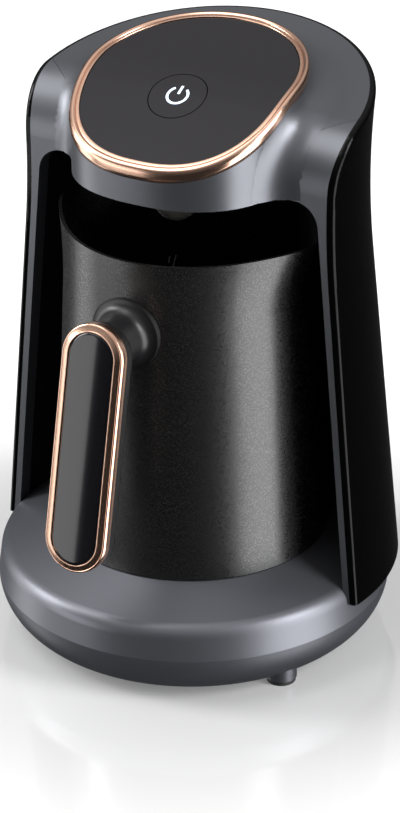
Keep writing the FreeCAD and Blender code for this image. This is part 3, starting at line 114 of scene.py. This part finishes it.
def makeMaterial(name, finish):
    # one Principled surface with grain in its colour, roughness and relief
    look = {**plainFinish, **finish}
    material = bpy.data.materials.new(name)
    material.use_nodes = True
    tree = material.node_tree
    add, link = tree.nodes.new, tree.links.new
    shader = tree.nodes["Principled BSDF"]
    shader.inputs["Metallic"].default_value = look["metallic"]
    shader.inputs["Specular IOR Level"].default_value = look["specular"]
    shader.inputs["Coat Weight"].default_value = look["coat"]
    shader.inputs["Coat Roughness"].default_value = look["coatRoughness"]
    shader.inputs["Alpha"].default_value = look["alpha"]
    if look["glow"]:
        shader.inputs["Emission Color"].default_value = (*look["glow"], 1)
        shader.inputs["Emission Strength"].default_value = look["glowStrength"]
    grain = add("ShaderNodeGroup")
    grain.node_tree = grainGroup
    grain.inputs["Grain Scale"].default_value = look["grainScale"]
    grain.inputs["Cloud Scale"].default_value = look["cloudScale"]

    colour = add("ShaderNodeMix")
    colour.data_type = "RGBA"
    low = [part * (1 - look["toneSpread"]) for part in look["colour"]]
    high = [part * (1 + look["toneSpread"]) for part in look["colour"]]
    colour.inputs["A"].default_value = (*low, 1)
    colour.inputs["B"].default_value = (*high, 1)
    link(grain.outputs["Tone"], colour.inputs["Factor"])
    link(colour.outputs["Result"], shader.inputs["Base Color"])

    rough = add("ShaderNodeMapRange")
    rough.inputs["To Min"].default_value = max(look["roughness"] - look["roughSpread"], look["smoothest"])
    rough.inputs["To Max"].default_value = look["roughness"] + look["roughSpread"]
    link(grain.outputs["Tone"], rough.inputs["Value"])
    link(rough.outputs["Result"], shader.inputs["Roughness"])

    if look["relief"]:
        bump = add("ShaderNodeBump")
        bump.inputs["Strength"].default_value = look["relief"]
        bump.inputs["Distance"].default_value = look["reliefDepth"]
        link(grain.outputs["Height"], bump.inputs["Height"])
        link(bump.outputs["Normal"], shader.inputs["Normal"])
    return material


def dress(material, *names):
    for name in names:
        piece = nodes[name]
        piece.data.materials.clear()
        piece.data.materials.append(material)


satinGrey = makeMaterial("satinGrey", {
    "colour": (0.150, 0.155, 0.172), "metallic": 0.75, "roughness": 0.36, "grainScale": 2600.0,
    "relief": 0.12, "toneSpread": 0.05})
baseGrey = makeMaterial("baseGrey", {
    "colour": (0.160, 0.164, 0.185), "metallic": 0.7, "roughness": 0.38, "grainScale": 2600.0,
    "relief": 0.12, "toneSpread": 0.05})
bowlGrey = makeMaterial("bowlGrey", {
    "colour": (0.085, 0.088, 0.102), "metallic": 0.5, "roughness": 0.42, "grainScale": 2600.0,
    "relief": 0.12, "toneSpread": 0.05})
glossBlack = makeMaterial("glossBlack", {
    "colour": (0.0016, 0.0016, 0.0018), "roughness": 0.06, "roughSpread": 0.01, "specular": 0.12})
nichePlastic = makeMaterial("nichePlastic", {
    "colour": (0.006, 0.006, 0.0065), "roughness": 0.42, "relief": 0.3, "grainScale": 1400.0,
    "specular": 0.35})
panelGloss = makeMaterial("panelGloss", {
    "colour": (0.013, 0.011, 0.014), "roughness": 0.20, "roughSpread": 0.01, "specular": 0.45})
copperPlate = makeMaterial("copperPlate", {
    "colour": (0.80, 0.50, 0.37), "metallic": 1.0, "roughness": 0.20, "roughSpread": 0.03})
handleBlack = makeMaterial("handleBlack", {
    "colour": (0.010, 0.010, 0.011), "roughness": 0.34, "relief": 0.2})
insertGloss = makeMaterial("insertGloss", {
    "colour": (0.006, 0.006, 0.008), "roughness": 0.10, "roughSpread": 0.01, "coat": 0.25,
    "coatRoughness": 0.06})
blackRubber = makeMaterial("blackRubber", {
    "colour": (0.015, 0.015, 0.015), "roughness": 0.7, "relief": 0.4, "grainScale": 900.0})
darkSteel = makeMaterial("darkSteel", {
    "colour": (0.16, 0.16, 0.165), "metallic": 0.9, "roughness": 0.38, "grainScale": 700.0})
zincSteel = makeMaterial("zincSteel", {
    "colour": (0.55, 0.56, 0.58), "metallic": 1.0, "roughness": 0.3})
smokeLens = makeMaterial("smokeLens", {
    "colour": (0.11, 0.108, 0.10), "roughness": 0.25, "alpha": 0.9})
iconLight = makeMaterial("iconLight", {
    "colour": (0.75, 0.85, 1.0), "roughness": 0.3, "glow": (0.62, 0.78, 1.0), "glowStrength": 1.4})
boardGreen = makeMaterial("boardGreen", {"colour": (0.01, 0.10, 0.045), "roughness": 0.35})
partBlack = makeMaterial("partBlack", {"colour": (0.02, 0.02, 0.02), "roughness": 0.45})
partBlue = makeMaterial("partBlue", {"colour": (0.02, 0.08, 0.30), "roughness": 0.4})
partWhite = makeMaterial("partWhite", {"colour": (0.7, 0.69, 0.65), "roughness": 0.45})
# level marks: pale partly as their own colour, partly as a painted highlight on the raised ticks
markPaleWithPaintedGlint = makeMaterial("markPaleWithPaintedGlint", {"colour": (0.55, 0.55, 0.54), "roughness": 0.4})
cableGrey = makeMaterial("cableGrey", {"colour": (0.12, 0.12, 0.125), "roughness": 0.55})


def potCoatingMaterial():
    # black non-stick coating with fine bright specks
    look = {"flakeScale": 2600.0, "threshold": 0.72, "coating": (0.0032, 0.0031, 0.0033),
            "speck": (0.012, 0.012, 0.0125), "roughness": 0.36, "speckRoughness": 0.26,
            "specular": 0.85, "grainScale": 1500.0, "relief": 0.08, "reliefDepth": 0.00006}
    material = bpy.data.materials.new("potCoating")
    material.use_nodes = True
    tree = material.node_tree
    add, link = tree.nodes.new, tree.links.new
    shader = tree.nodes["Principled BSDF"]
    shader.inputs["Specular IOR Level"].default_value = look["specular"]
    speckle = add("ShaderNodeGroup")
    speckle.node_tree = flakes
    speckle.inputs["Flake Scale"].default_value = look["flakeScale"]
    speckle.inputs["Threshold"].default_value = look["threshold"]
    colour = add("ShaderNodeMix")
    colour.data_type = "RGBA"
    colour.inputs["A"].default_value = (*look["coating"], 1)
    colour.inputs["B"].default_value = (*look["speck"], 1)
    link(speckle.outputs["Mask"], colour.inputs["Factor"])
    link(colour.outputs["Result"], shader.inputs["Base Color"])
    rough = add("ShaderNodeMapRange")
    rough.inputs["To Min"].default_value = look["roughness"]
    rough.inputs["To Max"].default_value = look["speckRoughness"]
    link(speckle.outputs["Mask"], rough.inputs["Value"])
    link(rough.outputs["Result"], shader.inputs["Roughness"])
    grain = add("ShaderNodeGroup")
    grain.node_tree = grainGroup
    grain.inputs["Grain Scale"].default_value = look["grainScale"]
    bump = add("ShaderNodeBump")
    bump.inputs["Strength"].default_value = look["relief"]
    bump.inputs["Distance"].default_value = look["reliefDepth"]
    link(grain.outputs["Height"], bump.inputs["Height"])
    link(bump.outputs["Normal"], shader.inputs["Normal"])
    return material


potCoating = potCoatingMaterial()

dress(satinGrey, "front_fascia", "top_rear_cover")
dress(baseGrey, "base_top_cover")
dress(bowlGrey, "base_bottom_cover")
dress(glossBlack, "rear_shell")
dress(nichePlastic, "niche_liner", "head_underside")
dress(panelGloss, "control_panel", "power_button")
dress(copperPlate, "copper_ring", "handle_trim")
dress(potCoating, "coffee_pot")
dress(handleBlack, "handle_grip", "handle_stud")
dress(insertGloss, "handle_insert")
dress(blackRubber, "rubber_feet", "cord_inlet", "plate_seal")
dress(darkSteel, "heating_plate", "heating_element")
dress(zincSteel, "base_screws", "element_clamp", "clamp_screw", "plate_thermostat", "column_screws",
      "underside_screws", "infrared_sensor", "control_board_screws", "power_board_screws",
      "handle_weld_nut", "handle_screw")
dress(smokeLens, "sensor_dome")
dress(iconLight, "button_icon_lens")
dress(boardGreen, "sensor_board", "control_board", "power_board")
dress(partBlack, "tact_switch", "buzzer", "board_capacitor")
dress(partBlue, "power_relay")
dress(partWhite, "thermal_fuse", "switch_plunger", "button_light", "terminal_block")
dress(cableGrey, "column_cable")
print("materials on all nodes")


def meshPiece(name, points, faces, material):
    # a smooth shaded piece from points in metres
    mesh = bpy.data.meshes.new(name)
    mesh.from_pydata(points, [], faces)
    mesh.validate()
    worked = bmesh.new()
    worked.from_mesh(mesh)
    bmesh.ops.recalc_face_normals(worked, faces=worked.faces)
    worked.to_mesh(mesh)
    worked.free()
    for face in mesh.polygons:
        face.use_smooth = True
    mesh.materials.append(material)
    piece = bpy.data.objects.new(name, mesh)
    collection.objects.link(piece)
    return piece


def loopedSweep(name, rings, material):
    # rings: closed profiles that follow each other round a closed path
    points = [point for ring in rings for point in ring]
    count, size = len(rings), len(rings[0])
    faces = []
    for i in range(count):
        following = (i + 1) % count
        for j in range(size):
            k = (j + 1) % size
            faces.append((i * size + j, following * size + j, following * size + k, i * size + k))
    return meshPiece(name, points, faces, material)


def roundedProfile(corners):
    # corners: (across, up, radius); every corner with a radius becomes a short arc
    look = {"steps": 5, "longest": 0.49}  # an arc takes just under half of either side
    shape = []
    count = len(corners)
    for i, (x, z, radius) in enumerate(corners):
        here = Vector((x, z))
        if radius == 0:
            shape.append((x, z))
            continue
        before = Vector(corners[i - 1][:2])
        after = Vector(corners[(i + 1) % count][:2])
        toBefore = (before - here).normalized()
        toAfter = (after - here).normalized()
        half = toBefore.angle(toAfter) / 2
        run = min(radius / math.tan(half), (before - here).length * look["longest"],
                  (after - here).length * look["longest"])
        first, last = here + toBefore * run, here + toAfter * run
        for step in range(look["steps"] + 1):
            t = step / look["steps"]
            point = first * (1 - t) ** 2 + here * 2 * t * (1 - t) + last * t * t
            shape.append((point.x, point.y))
    return shape


# the control panel's oval outline and its bent top, in millimetres and degrees
panel = {"halfWidth": 35.6, "front": 36.4, "back": 36.0, "centre": 3.0, "frontPower": 2.45,
         "backPower": 2.05, "corner": 203.5, "frontSlope": 27.3, "rearSlope": 11.1, "bend": 50.0,
         "drumWall": 3.0}


def panelLevel(y):
    # height of the bent panel at a place y behind the upright axis, with its slope
    low, high = math.radians(panel["frontSlope"]), math.radians(panel["rearSlope"])
    run = panel["bend"] * math.tan((low - high) / 2)
    start, end = -run * math.cos(low), run * math.cos(high)
    if y < start:
        return panel["corner"] + y * math.tan(low), low
    if y > end:
        return panel["corner"] + y * math.tan(high), high
    centreY = start + panel["bend"] * math.sin(low)
    centreZ = panel["corner"] - run * math.sin(low) - panel["bend"] * math.cos(low)
    height = math.sqrt(panel["bend"] ** 2 - (y - centreY) ** 2)
    return centreZ + height, math.atan2(centreY - y, height)


def ovalPoint(angle, grow):
    # a place on the panel's outline, grown outwards
    front = math.sin(angle) < 0
    power = panel["frontPower"] if front else panel["backPower"]
    depth = (panel["front"] if front else panel["back"]) + grow
    across = math.copysign(abs(math.cos(angle)) ** (2 / power), math.cos(angle))
    along = math.copysign(abs(math.sin(angle)) ** (2 / power), math.sin(angle))
    return (panel["halfWidth"] + grow) * across, depth * along + panel["centre"]


def buildCopperRing():
    # polished band round the panel: a narrow inner step, a groove line, and a full outer bead
    # profile: out from the panel's edge, up from its top, rounding
    look = {"steps": 320, "profile": [
        (0.02, -3.1, 0), (0.02, 0.42, 0.25), (1.15, 0.34, 0.22), (1.28, 0.02, 0.08), (1.44, 0.42, 0.2),
        (2.1, 0.84, 0.5), (3.0, 0.62, 0.8), (3.39, -0.35, 0.9), (3.38, -1.9, 0.6), (3.05, -3.1, 0)]}
    profile = roundedProfile(look["profile"])
    rings = []
    for step in range(look["steps"]):
        angle = 2 * math.pi * (step + 0.5) / look["steps"]
        ring = []
        for grow, up in profile:
            x, y = ovalPoint(angle, grow)
            level, slope = panelLevel(y)
            ring.append((x / 1000, y / 1000 + axisY, (level + up / math.cos(slope)) / 1000))
        rings.append(ring)
    ring = loopedSweep("copperRing", rings, copperPlate)
    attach(ring, "body")
    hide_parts("copper_ring")
    return ring


# the handle's grip: where its middle stands, how far it leans, and its outline
grip = {"out": 73.3, "middle": 97.8, "tilt": 13.0, "length": 86.4, "width": 23.4}


def gripPoint(x, y, z):
    # from the grip's own face plane, y along it and z out of it, to the machine's frame
    tilt = math.radians(90 - grip["tilt"])
    along = y * math.cos(tilt) - z * math.sin(tilt)
    up = y * math.sin(tilt) + z * math.cos(tilt)
    return x / 1000, (along - grip["out"]) / 1000 + axisY, (up + grip["middle"]) / 1000


def capsulePath(inset, quarter):
    # the grip's outline drawn inwards, with a number of steps in each quarter turn
    half = grip["width"] / 2 - inset
    straight = (grip["length"] - grip["width"]) / 2
    path = []
    for step in range(2 * quarter + 1):
        angle = math.pi * step / (2 * quarter)
        path.append((half * math.cos(angle), straight + half * math.sin(angle)))
    for step in range(2 * quarter + 1):
        angle = math.pi + math.pi * step / (2 * quarter)
        path.append((half * math.cos(angle), -straight + half * math.sin(angle)))
    return path


def buildHandleTrim():
    # copper frame of the grip: a thin raised inner line, a face that slopes outwards, a rounded edge
    # profile: in from the grip's edge, out from its face, rounding
    look = {"quarter": 24, "profile": [
        (2.88, -4.6, 0), (2.88, -0.02, 0.12), (2.62, -0.02, 0.1), (2.5, -0.16, 0.1), (0.8, -0.85, 0.25),
        (0.66, -0.72, 0.15), (0.3, -0.95, 0.3), (0.02, -1.7, 0.6), (0.02, -4.1, 0.5), (0.5, -4.6, 0.2)]}
    profile = roundedProfile(look["profile"])
    paths = [capsulePath(inset, look["quarter"]) for inset, depth in profile]
    rings = []
    for step in range(len(paths[0])):
        rings.append([gripPoint(*path[step], depth) for path, (inset, depth) in zip(paths, profile)])
    trim = loopedSweep("handleTrim", rings, copperPlate)
    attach(trim, "pot")
    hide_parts("handle_trim")
    return trim


def buildHandleInsert():
    # gloss plate in the frame, gently crowned across its width; inset from the grip's edge
    look = {"inset": 3.1, "edge": -0.42, "crown": 0.40, "under": -1.35, "edgeDrop": 0.25,
            "edgeInset": 0.02, "quarter": 20, "across": 12}
    outline = capsulePath(look["inset"], look["quarter"])
    half = grip["width"] / 2 - look["inset"]
    longRun = (grip["length"] - grip["width"]) / 2
    points = [gripPoint(x, y, look["under"]) for x, y in outline]
    points += [gripPoint(x, y, look["edge"] - look["edgeDrop"]) for x, y in outline]
    count = len(outline)
    faces = [tuple(range(count))[::-1]]
    for i in range(count):
        k = (i + 1) % count
        faces.append((i, k, count + k, count + i))
    for ring in range(look["across"] + 1):
        share = (1 - look["edgeInset"]) * (1 - ring / look["across"])
        for x, y in outline:
            centreY = max(-longRun, min(longRun, y))
            px, py = x * share, centreY + (y - centreY) * share
            rise = look["crown"] * (1 - (px / half) ** 2)
            points.append(gripPoint(px, py, look["edge"] + rise))
    for ring in range(look["across"] + 1):
        low = count * (1 + ring)
        for i in range(count):
            k = (i + 1) % count
            faces.append((low + i, low + k, low + count + k, low + count + i))
    plate = meshPiece("handleInsert", points, faces, insertGloss)
    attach(plate, "pot")
    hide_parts("handle_insert")
    return plate


def buildLevelMarks():
    # two slanted level-mark strokes side by side on the pot's inner wall; their pale colour is partly
    # their own and partly a painted highlight
    # strokes: turn and height of the upper end, then of the lower end
    look = {"radius": 43.05, "stand": 0.12, "wide": 0.75, "steps": 8,
            "strokes": ((126.6, 119.2, 128.2, 114.4), (129.6, 118.9, 130.3, 116.4))}
    wall, face = look["radius"], look["radius"] - look["stand"]
    for number, (topTurn, top, footTurn, foot) in enumerate(look["strokes"]):
        points = []
        for step in range(look["steps"] + 1):
            share = step / look["steps"]
            z = top + (foot - top) * share
            turn = topTurn + (footTurn - topTurn) * share
            for radius in (wall, face):
                for side in (-0.5, 0.5):
                    angle = math.radians(turn + side * look["wide"])
                    points.append((radius * math.cos(angle) / 1000,
                                   radius * math.sin(angle) / 1000 + axisY, z / 1000))
        faces = []
        for step in range(look["steps"]):
            upper, lower = step * 4, step * 4 + 4
            faces += [(upper, lower, lower + 1, upper + 1), (upper + 2, upper + 3, lower + 3, lower + 2),
                      (upper + 1, lower + 1, lower + 3, upper + 3), (upper, upper + 2, lower + 2, lower)]
        last = look["steps"] * 4
        faces += [(0, 1, 3, 2), (last, last + 2, last + 3, last + 1)]
        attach(meshPiece("levelMark%d" % (number + 1), points, faces, markPaleWithPaintedGlint), "pot")


# the column's top as the blend meets it: its rounded crown, and its waist a little below
column = {"crownY": -8.75, "crownZ": 193.3, "crownLean": 88.96, "crownSlope": 10.76, "crownBend": 22.0,
          "waistLevel": 170.0, "waistRadius": 60.5, "waistBend": 300.0, "back": 2.0,
          "coverInset": 2.275}


def crownDistance(y, z):
    # distance outside the cover's side view: a near upright front, an arc, and a slowly rising top
    lean, slope = math.radians(column["crownLean"]), math.radians(column["crownSlope"])
    y, z = y - column["crownY"], z - column["crownZ"]
    front = -y * math.sin(lean) + z * math.cos(lean)
    top = -y * math.sin(slope) + z * math.cos(slope)
    bend = column["crownBend"]
    run = bend * math.tan((lean - slope) / 2)
    centreY = -run * math.cos(lean) + bend * math.sin(lean)
    centreZ = -run * math.sin(lean) - bend * math.cos(lean)
    outY, outZ = y - centreY, z - centreZ
    angle = np.arctan2(-outY, outZ)
    arc = np.hypot(outY, outZ) - bend
    return np.where(angle > lean, front, np.where(angle < slope, top, arc))


def drumDistance(x, y):
    # distance outside the drum's oval wall
    y = y - panel["centre"]
    power = np.where(y < 0, panel["frontPower"], panel["backPower"])
    depth = np.where(y < 0, panel["front"], panel["back"]) + panel["drumWall"]
    half = panel["halfWidth"] + panel["drumWall"]
    across, along = np.abs(x) / half, np.abs(y) / depth
    level = (across ** power + along ** power) ** (1 / power)
    least = 1e-6  # keeps the powers of nought away
    slopeX = np.maximum(across, least) ** (power - 1) * level ** (1 - power) / half
    slopeY = np.maximum(along, least) ** (power - 1) * level ** (1 - power) / depth
    return (level - 1) / np.hypot(slopeX, slopeY)


# the hollow between drum and cover: its width and height at the back and at the front, where
# the front begins, and the fan of sight lines from inside the head that finds its surface
hollow = {"reach": 13.5, "wallTop": 4.9, "wallFront": 11.0, "frontFrom": 10.0, "frontRun": 14.0,
          "power": 2.3, "middle": (0.0, 12.0, 150.0), "across": 360, "up": 130, "lowest": 2.0,
          "highest": 62.0, "nearest": 20.0, "furthest": 95.0, "halvings": 28, "tuck": 0.012,
          "bottom": 172.05, "widest": 40.0, "waistGap": 0.1}


def hollowDistance(x, y, z):
    # distance outside drum, cover and hollow taken together, and outside drum and cover alone
    fromDrum = drumDistance(x, y)
    fromCrown = crownDistance(y, z)
    share = np.clip((hollow["frontFrom"] - y) / hollow["frontRun"], 0, 1)
    high = hollow["wallTop"] + (
        (hollow["wallFront"] - hollow["wallTop"]) * share * share * (3 - 2 * share))
    reach = hollow["reach"] + (hollow["wallFront"] - hollow["reach"]) * share
    toDrum = (reach - fromDrum) / reach
    toCrown = (high - fromCrown) / high
    power = hollow["power"]
    sunk = 1 - (np.maximum(toDrum, 0) ** power + np.maximum(toCrown, 0) ** power) ** (1 / power)
    nearest = np.minimum(fromDrum, fromCrown)
    blended = (fromDrum > 0) & (fromCrown > 0) & (toDrum > 0) & (toCrown > 0)
    return np.where(blended, sunk * reach, nearest), fromDrum, fromCrown


def buildCoverBlend():
    # the wide hollow in which the head's drum runs out into the cover round it
    around = np.linspace(-math.pi, math.pi, hollow["across"] + 1)[:-1]
    raised = np.radians(np.linspace(hollow["lowest"], hollow["highest"], hollow["up"]))
    turn, rise = np.meshgrid(around, raised)
    middleX, middleY, middleZ = hollow["middle"]

    def placeAt(run):
        return (middleX + np.sin(turn) * np.cos(rise) * run, middleY - np.cos(turn) * np.cos(rise) * run,
                middleZ + np.sin(rise) * run)

    low = np.full(turn.shape, hollow["nearest"])
    high = np.full(turn.shape, hollow["furthest"])
    for step in range(hollow["halvings"]):
        halfWay = (low + high) / 2
        inside = hollowDistance(*placeAt(halfWay))[0] < 0
        low = np.where(inside, halfWay, low)
        high = np.where(inside, high, halfWay)
    x, y, z = placeAt(low)
    fromDrum, fromCrown = hollowDistance(x, y, z)[1:]
    lift = z - column["waistLevel"]
    waist = (column["waistRadius"] + column["waistBend"]
             - np.sqrt(column["waistBend"] ** 2 - lift ** 2) - column["coverInset"])
    kept = (fromDrum > hollow["tuck"]) & (fromCrown > hollow["tuck"]) & (z > hollow["bottom"])
    kept &= fromDrum < hollow["widest"]
    kept &= np.hypot(x, y - column["back"]) < waist - hollow["waistGap"]
    index = np.full(kept.shape, -1)
    index[kept] = np.arange(kept.sum())
    points = [(px / 1000, py / 1000 + axisY, pz / 1000)
              for px, py, pz in zip(x[kept], y[kept], z[kept])]
    faces = []
    rows, columns = kept.shape
    for row in range(rows - 1):
        for place in range(columns):
            following = (place + 1) % columns
            corners = [int(index[row, place]), int(index[row, following]),
                       int(index[row + 1, following]), int(index[row + 1, place])]
            corners = [corner for corner in corners if corner >= 0]
            if len(corners) >= 3:
                faces.append(tuple(corners))
    blend = meshPiece("coverBlend", points, faces, satinGrey)
    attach(blend, "body")
    print("cover blend,", len(points), "points")
    return blend


buildCopperRing()
buildCoverBlend()
buildHandleTrim()
buildHandleInsert()
buildLevelMarks()
print("ring, trim and marks built")


def shootingTable():
    # a pale polished table top: it keeps the shadow and a faint mirror image, and runs into the white;
    # its camera-only glow is weaker near the machine, which paints a shade round its foot
    # lift: camera-only glow near the machine and far off; the low near value is painted shade round its
    # foot
    look = {"half": 3.0, "tone": 0.80, "mirror": 0.22, "mirrorRoughness": 0.05, "lift": (0.16, 0.66),
            "paintedShadeReach": (0.08, 0.22)}
    mesh = bpy.data.meshes.new("shootingTable")
    half = look["half"]
    mesh.from_pydata([(-half, -half, 0), (half, -half, 0), (half, half, 0), (-half, half, 0)], [],
                     [(0, 1, 2, 3)])
    table = bpy.data.objects.new("shootingTable", mesh)
    collection.objects.link(table)
    table.visible_glossy = False
    material = bpy.data.materials.new("paleTable")
    material.use_nodes = True
    tree = material.node_tree
    tree.nodes.remove(tree.nodes["Principled BSDF"])
    add, link = tree.nodes.new, tree.links.new
    matt = add("ShaderNodeBsdfDiffuse")
    matt.inputs["Color"].default_value = (look["tone"],) * 3 + (1,)
    gloss = add("ShaderNodeBsdfGlossy")
    gloss.inputs["Roughness"].default_value = look["mirrorRoughness"]
    mixed = add("ShaderNodeMixShader")
    mixed.inputs["Fac"].default_value = look["mirror"]
    link(matt.outputs["BSDF"], mixed.inputs[1])
    link(gloss.outputs["BSDF"], mixed.inputs[2])
    lift = add("ShaderNodeEmission")
    path = add("ShaderNodeLightPath")
    place = add("ShaderNodeNewGeometry")
    away = add("ShaderNodeVectorMath")
    away.operation = "LENGTH"
    link(place.outputs["Position"], away.inputs[0])
    # glow grows with distance from the machine: low near it as painted shade on the floor, high far off
    # for the white
    paintedShadeByDistance = add("ShaderNodeMapRange")
    paintedShadeByDistance.interpolation_type = "SMOOTHSTEP"
    paintedShadeByDistance.inputs["From Min"].default_value, paintedShadeByDistance.inputs["From Max"].default_value = look["paintedShadeReach"]
    paintedShadeByDistance.inputs["To Min"].default_value, paintedShadeByDistance.inputs["To Max"].default_value = look["lift"]
    link(away.outputs["Value"], paintedShadeByDistance.inputs["Value"])
    strength = add("ShaderNodeMath")
    strength.operation = "MULTIPLY"
    link(path.outputs["Is Camera Ray"], strength.inputs[0])
    link(paintedShadeByDistance.outputs["Result"], strength.inputs[1])
    link(strength.outputs["Value"], lift.inputs["Strength"])
    total = add("ShaderNodeAddShader")
    link(mixed.outputs["Shader"], total.inputs[0])
    link(lift.outputs["Emission"], total.inputs[1])
    link(total.outputs["Shader"], tree.nodes["Material Output"].inputs["Surface"])
    mesh.materials.append(material)


def studioWorld():
    # a white backdrop for the eye and for reflections above the table's level, and a dim even light
    look = {"light": 0.24, "backdrop": 1.0, "below": 0.03, "darkest": -0.10, "falloff": 2.2}
    world = bpy.data.worlds.new("studio")
    world.use_nodes = True
    bpy.context.scene.world = world
    tree = world.node_tree
    add, link = tree.nodes.new, tree.links.new
    background = tree.nodes["Background"]
    path = add("ShaderNodeLightPath")
    coords = add("ShaderNodeTexCoord")
    split = add("ShaderNodeSeparateXYZ")
    link(coords.outputs["Generated"], split.inputs["Vector"])
    level = add("ShaderNodeMapRange")
    level.inputs["From Min"].default_value = look["darkest"]
    link(split.outputs["Z"], level.inputs["Value"])
    curve = add("ShaderNodeMath")
    curve.operation = "POWER"
    curve.inputs[1].default_value = look["falloff"]
    link(level.outputs["Result"], curve.inputs[0])
    sky = add("ShaderNodeMapRange")
    sky.inputs["To Min"].default_value = look["below"]
    sky.inputs["To Max"].default_value = look["backdrop"]
    link(curve.outputs["Value"], sky.inputs["Value"])
    shiny = add("ShaderNodeMath")
    shiny.operation = "MAXIMUM"
    link(path.outputs["Is Glossy Ray"], shiny.inputs[0])
    link(path.outputs["Is Transmission Ray"], shiny.inputs[1])
    reflected = add("ShaderNodeMix")
    reflected.data_type = "FLOAT"
    reflected.inputs["A"].default_value = look["light"]
    link(shiny.outputs["Value"], reflected.inputs["Factor"])
    link(sky.outputs["Result"], reflected.inputs["B"])
    seen = add("ShaderNodeMix")
    seen.data_type = "FLOAT"
    seen.inputs["B"].default_value = look["backdrop"]
    link(path.outputs["Is Camera Ray"], seen.inputs["Factor"])
    link(reflected.outputs["Result"], seen.inputs["A"])
    link(seen.outputs["Result"], background.inputs["Strength"])
    background.inputs["Color"].default_value = (1, 1, 1, 1)


def reflectionCard(name, look):
    # a lit card beside the table that only shows in polished and satin surfaces
    card = {"distance": 1.3, "steps": 12}
    low, high = look["heights"]
    first, last = (math.radians(azimuth) for azimuth in look["azimuths"])
    points, faces = [], []
    for step in range(card["steps"] + 1):
        angle = first + (last - first) * step / card["steps"]
        x, y = card["distance"] * math.sin(angle), -card["distance"] * math.cos(angle)
        points += [(x, y, low), (x, y, high)]
    for step in range(card["steps"]):
        corner = step * 2
        faces.append((corner, corner + 2, corner + 3, corner + 1))
    mesh = bpy.data.meshes.new(name)
    mesh.from_pydata(points, [], faces)
    material = bpy.data.materials.new(name)
    material.use_nodes = True
    tree = material.node_tree
    tree.nodes.remove(tree.nodes["Principled BSDF"])
    glow = tree.nodes.new("ShaderNodeEmission")
    glow.inputs["Strength"].default_value = look["strength"]
    tree.links.new(glow.outputs["Emission"], tree.nodes["Material Output"].inputs["Surface"])
    material.cycles.emission_sampling = "NONE"
    mesh.materials.append(material)
    sheet = bpy.data.objects.new(name, mesh)
    collection.objects.link(sheet)
    sheet.visible_camera = False
    sheet.visible_diffuse = False
    sheet.visible_shadow = False


def softBox(name, look):
    # a rectangular lamp that casts no hard edge
    data = bpy.data.lights.new(name, "AREA")
    data.shape = "RECTANGLE"
    data.size, data.size_y = look["size"]
    data.energy = look["power"]
    lamp = bpy.data.objects.new(name, data)
    place = Vector(look["place"])
    lamp.location = place
    lamp.rotation_euler = (Vector(look["aim"]) - place).to_track_quat("-Z", "Y").to_euler()
    collection.objects.link(lamp)
    return lamp


def photoCamera():
    # stands where the photograph was taken from
    look = {"place": (0.487007, -0.843521 + axisY, 0.588847), "turn": 29.8341, "down": 27.5683,
            "roll": -0.7118, "lens": 138.58, "sensor": 36.0, "near": 0.05}
    data = bpy.data.cameras.new("photoCamera")
    data.lens = look["lens"]
    data.sensor_width = look["sensor"]
    data.clip_start = look["near"]
    camera = bpy.data.objects.new("photoCamera", data)
    collection.objects.link(camera)
    turned = (Matrix.Rotation(math.radians(look["turn"]), 4, "Z")
              @ Matrix.Rotation(math.radians(90 - look["down"]), 4, "X")
              @ Matrix.Rotation(math.radians(look["roll"]), 4, "Z"))
    camera.matrix_world = Matrix.Translation(look["place"]) @ turned
    bpy.context.scene.camera = camera


shootingTable()
studioWorld()
softBox("rightBox", {"size": (0.5, 1.0), "power": 16.0, "place": (1.25, 0.05, 0.70),
                     "aim": (0, 0, 0.11)})
softBox("leftBox", {"size": (0.4, 0.9), "power": 13.0, "place": (-1.2, -0.45, 0.65),
                    "aim": (0, 0, 0.11)})
softBox("topBox", {"size": (1.0, 1.0), "power": 8.0, "place": (-0.62, -0.46, 1.45),
                   "aim": (-0.62, -0.46, 0)})
reflectionCard("rightCard", {"azimuths": (68, 110), "heights": (-1.3, 0.5), "strength": 4.2})
reflectionCard("leftCard", {"azimuths": (-90, -66), "heights": (-1.3, 0.5), "strength": 2.2})
reflectionCard("gripCard", {"azimuths": (-58, -25), "heights": (-0.35, 0.35), "strength": 2.2})
photoCamera()
bpy.context.scene.view_settings.view_transform = "Standard"
print("studio ready")
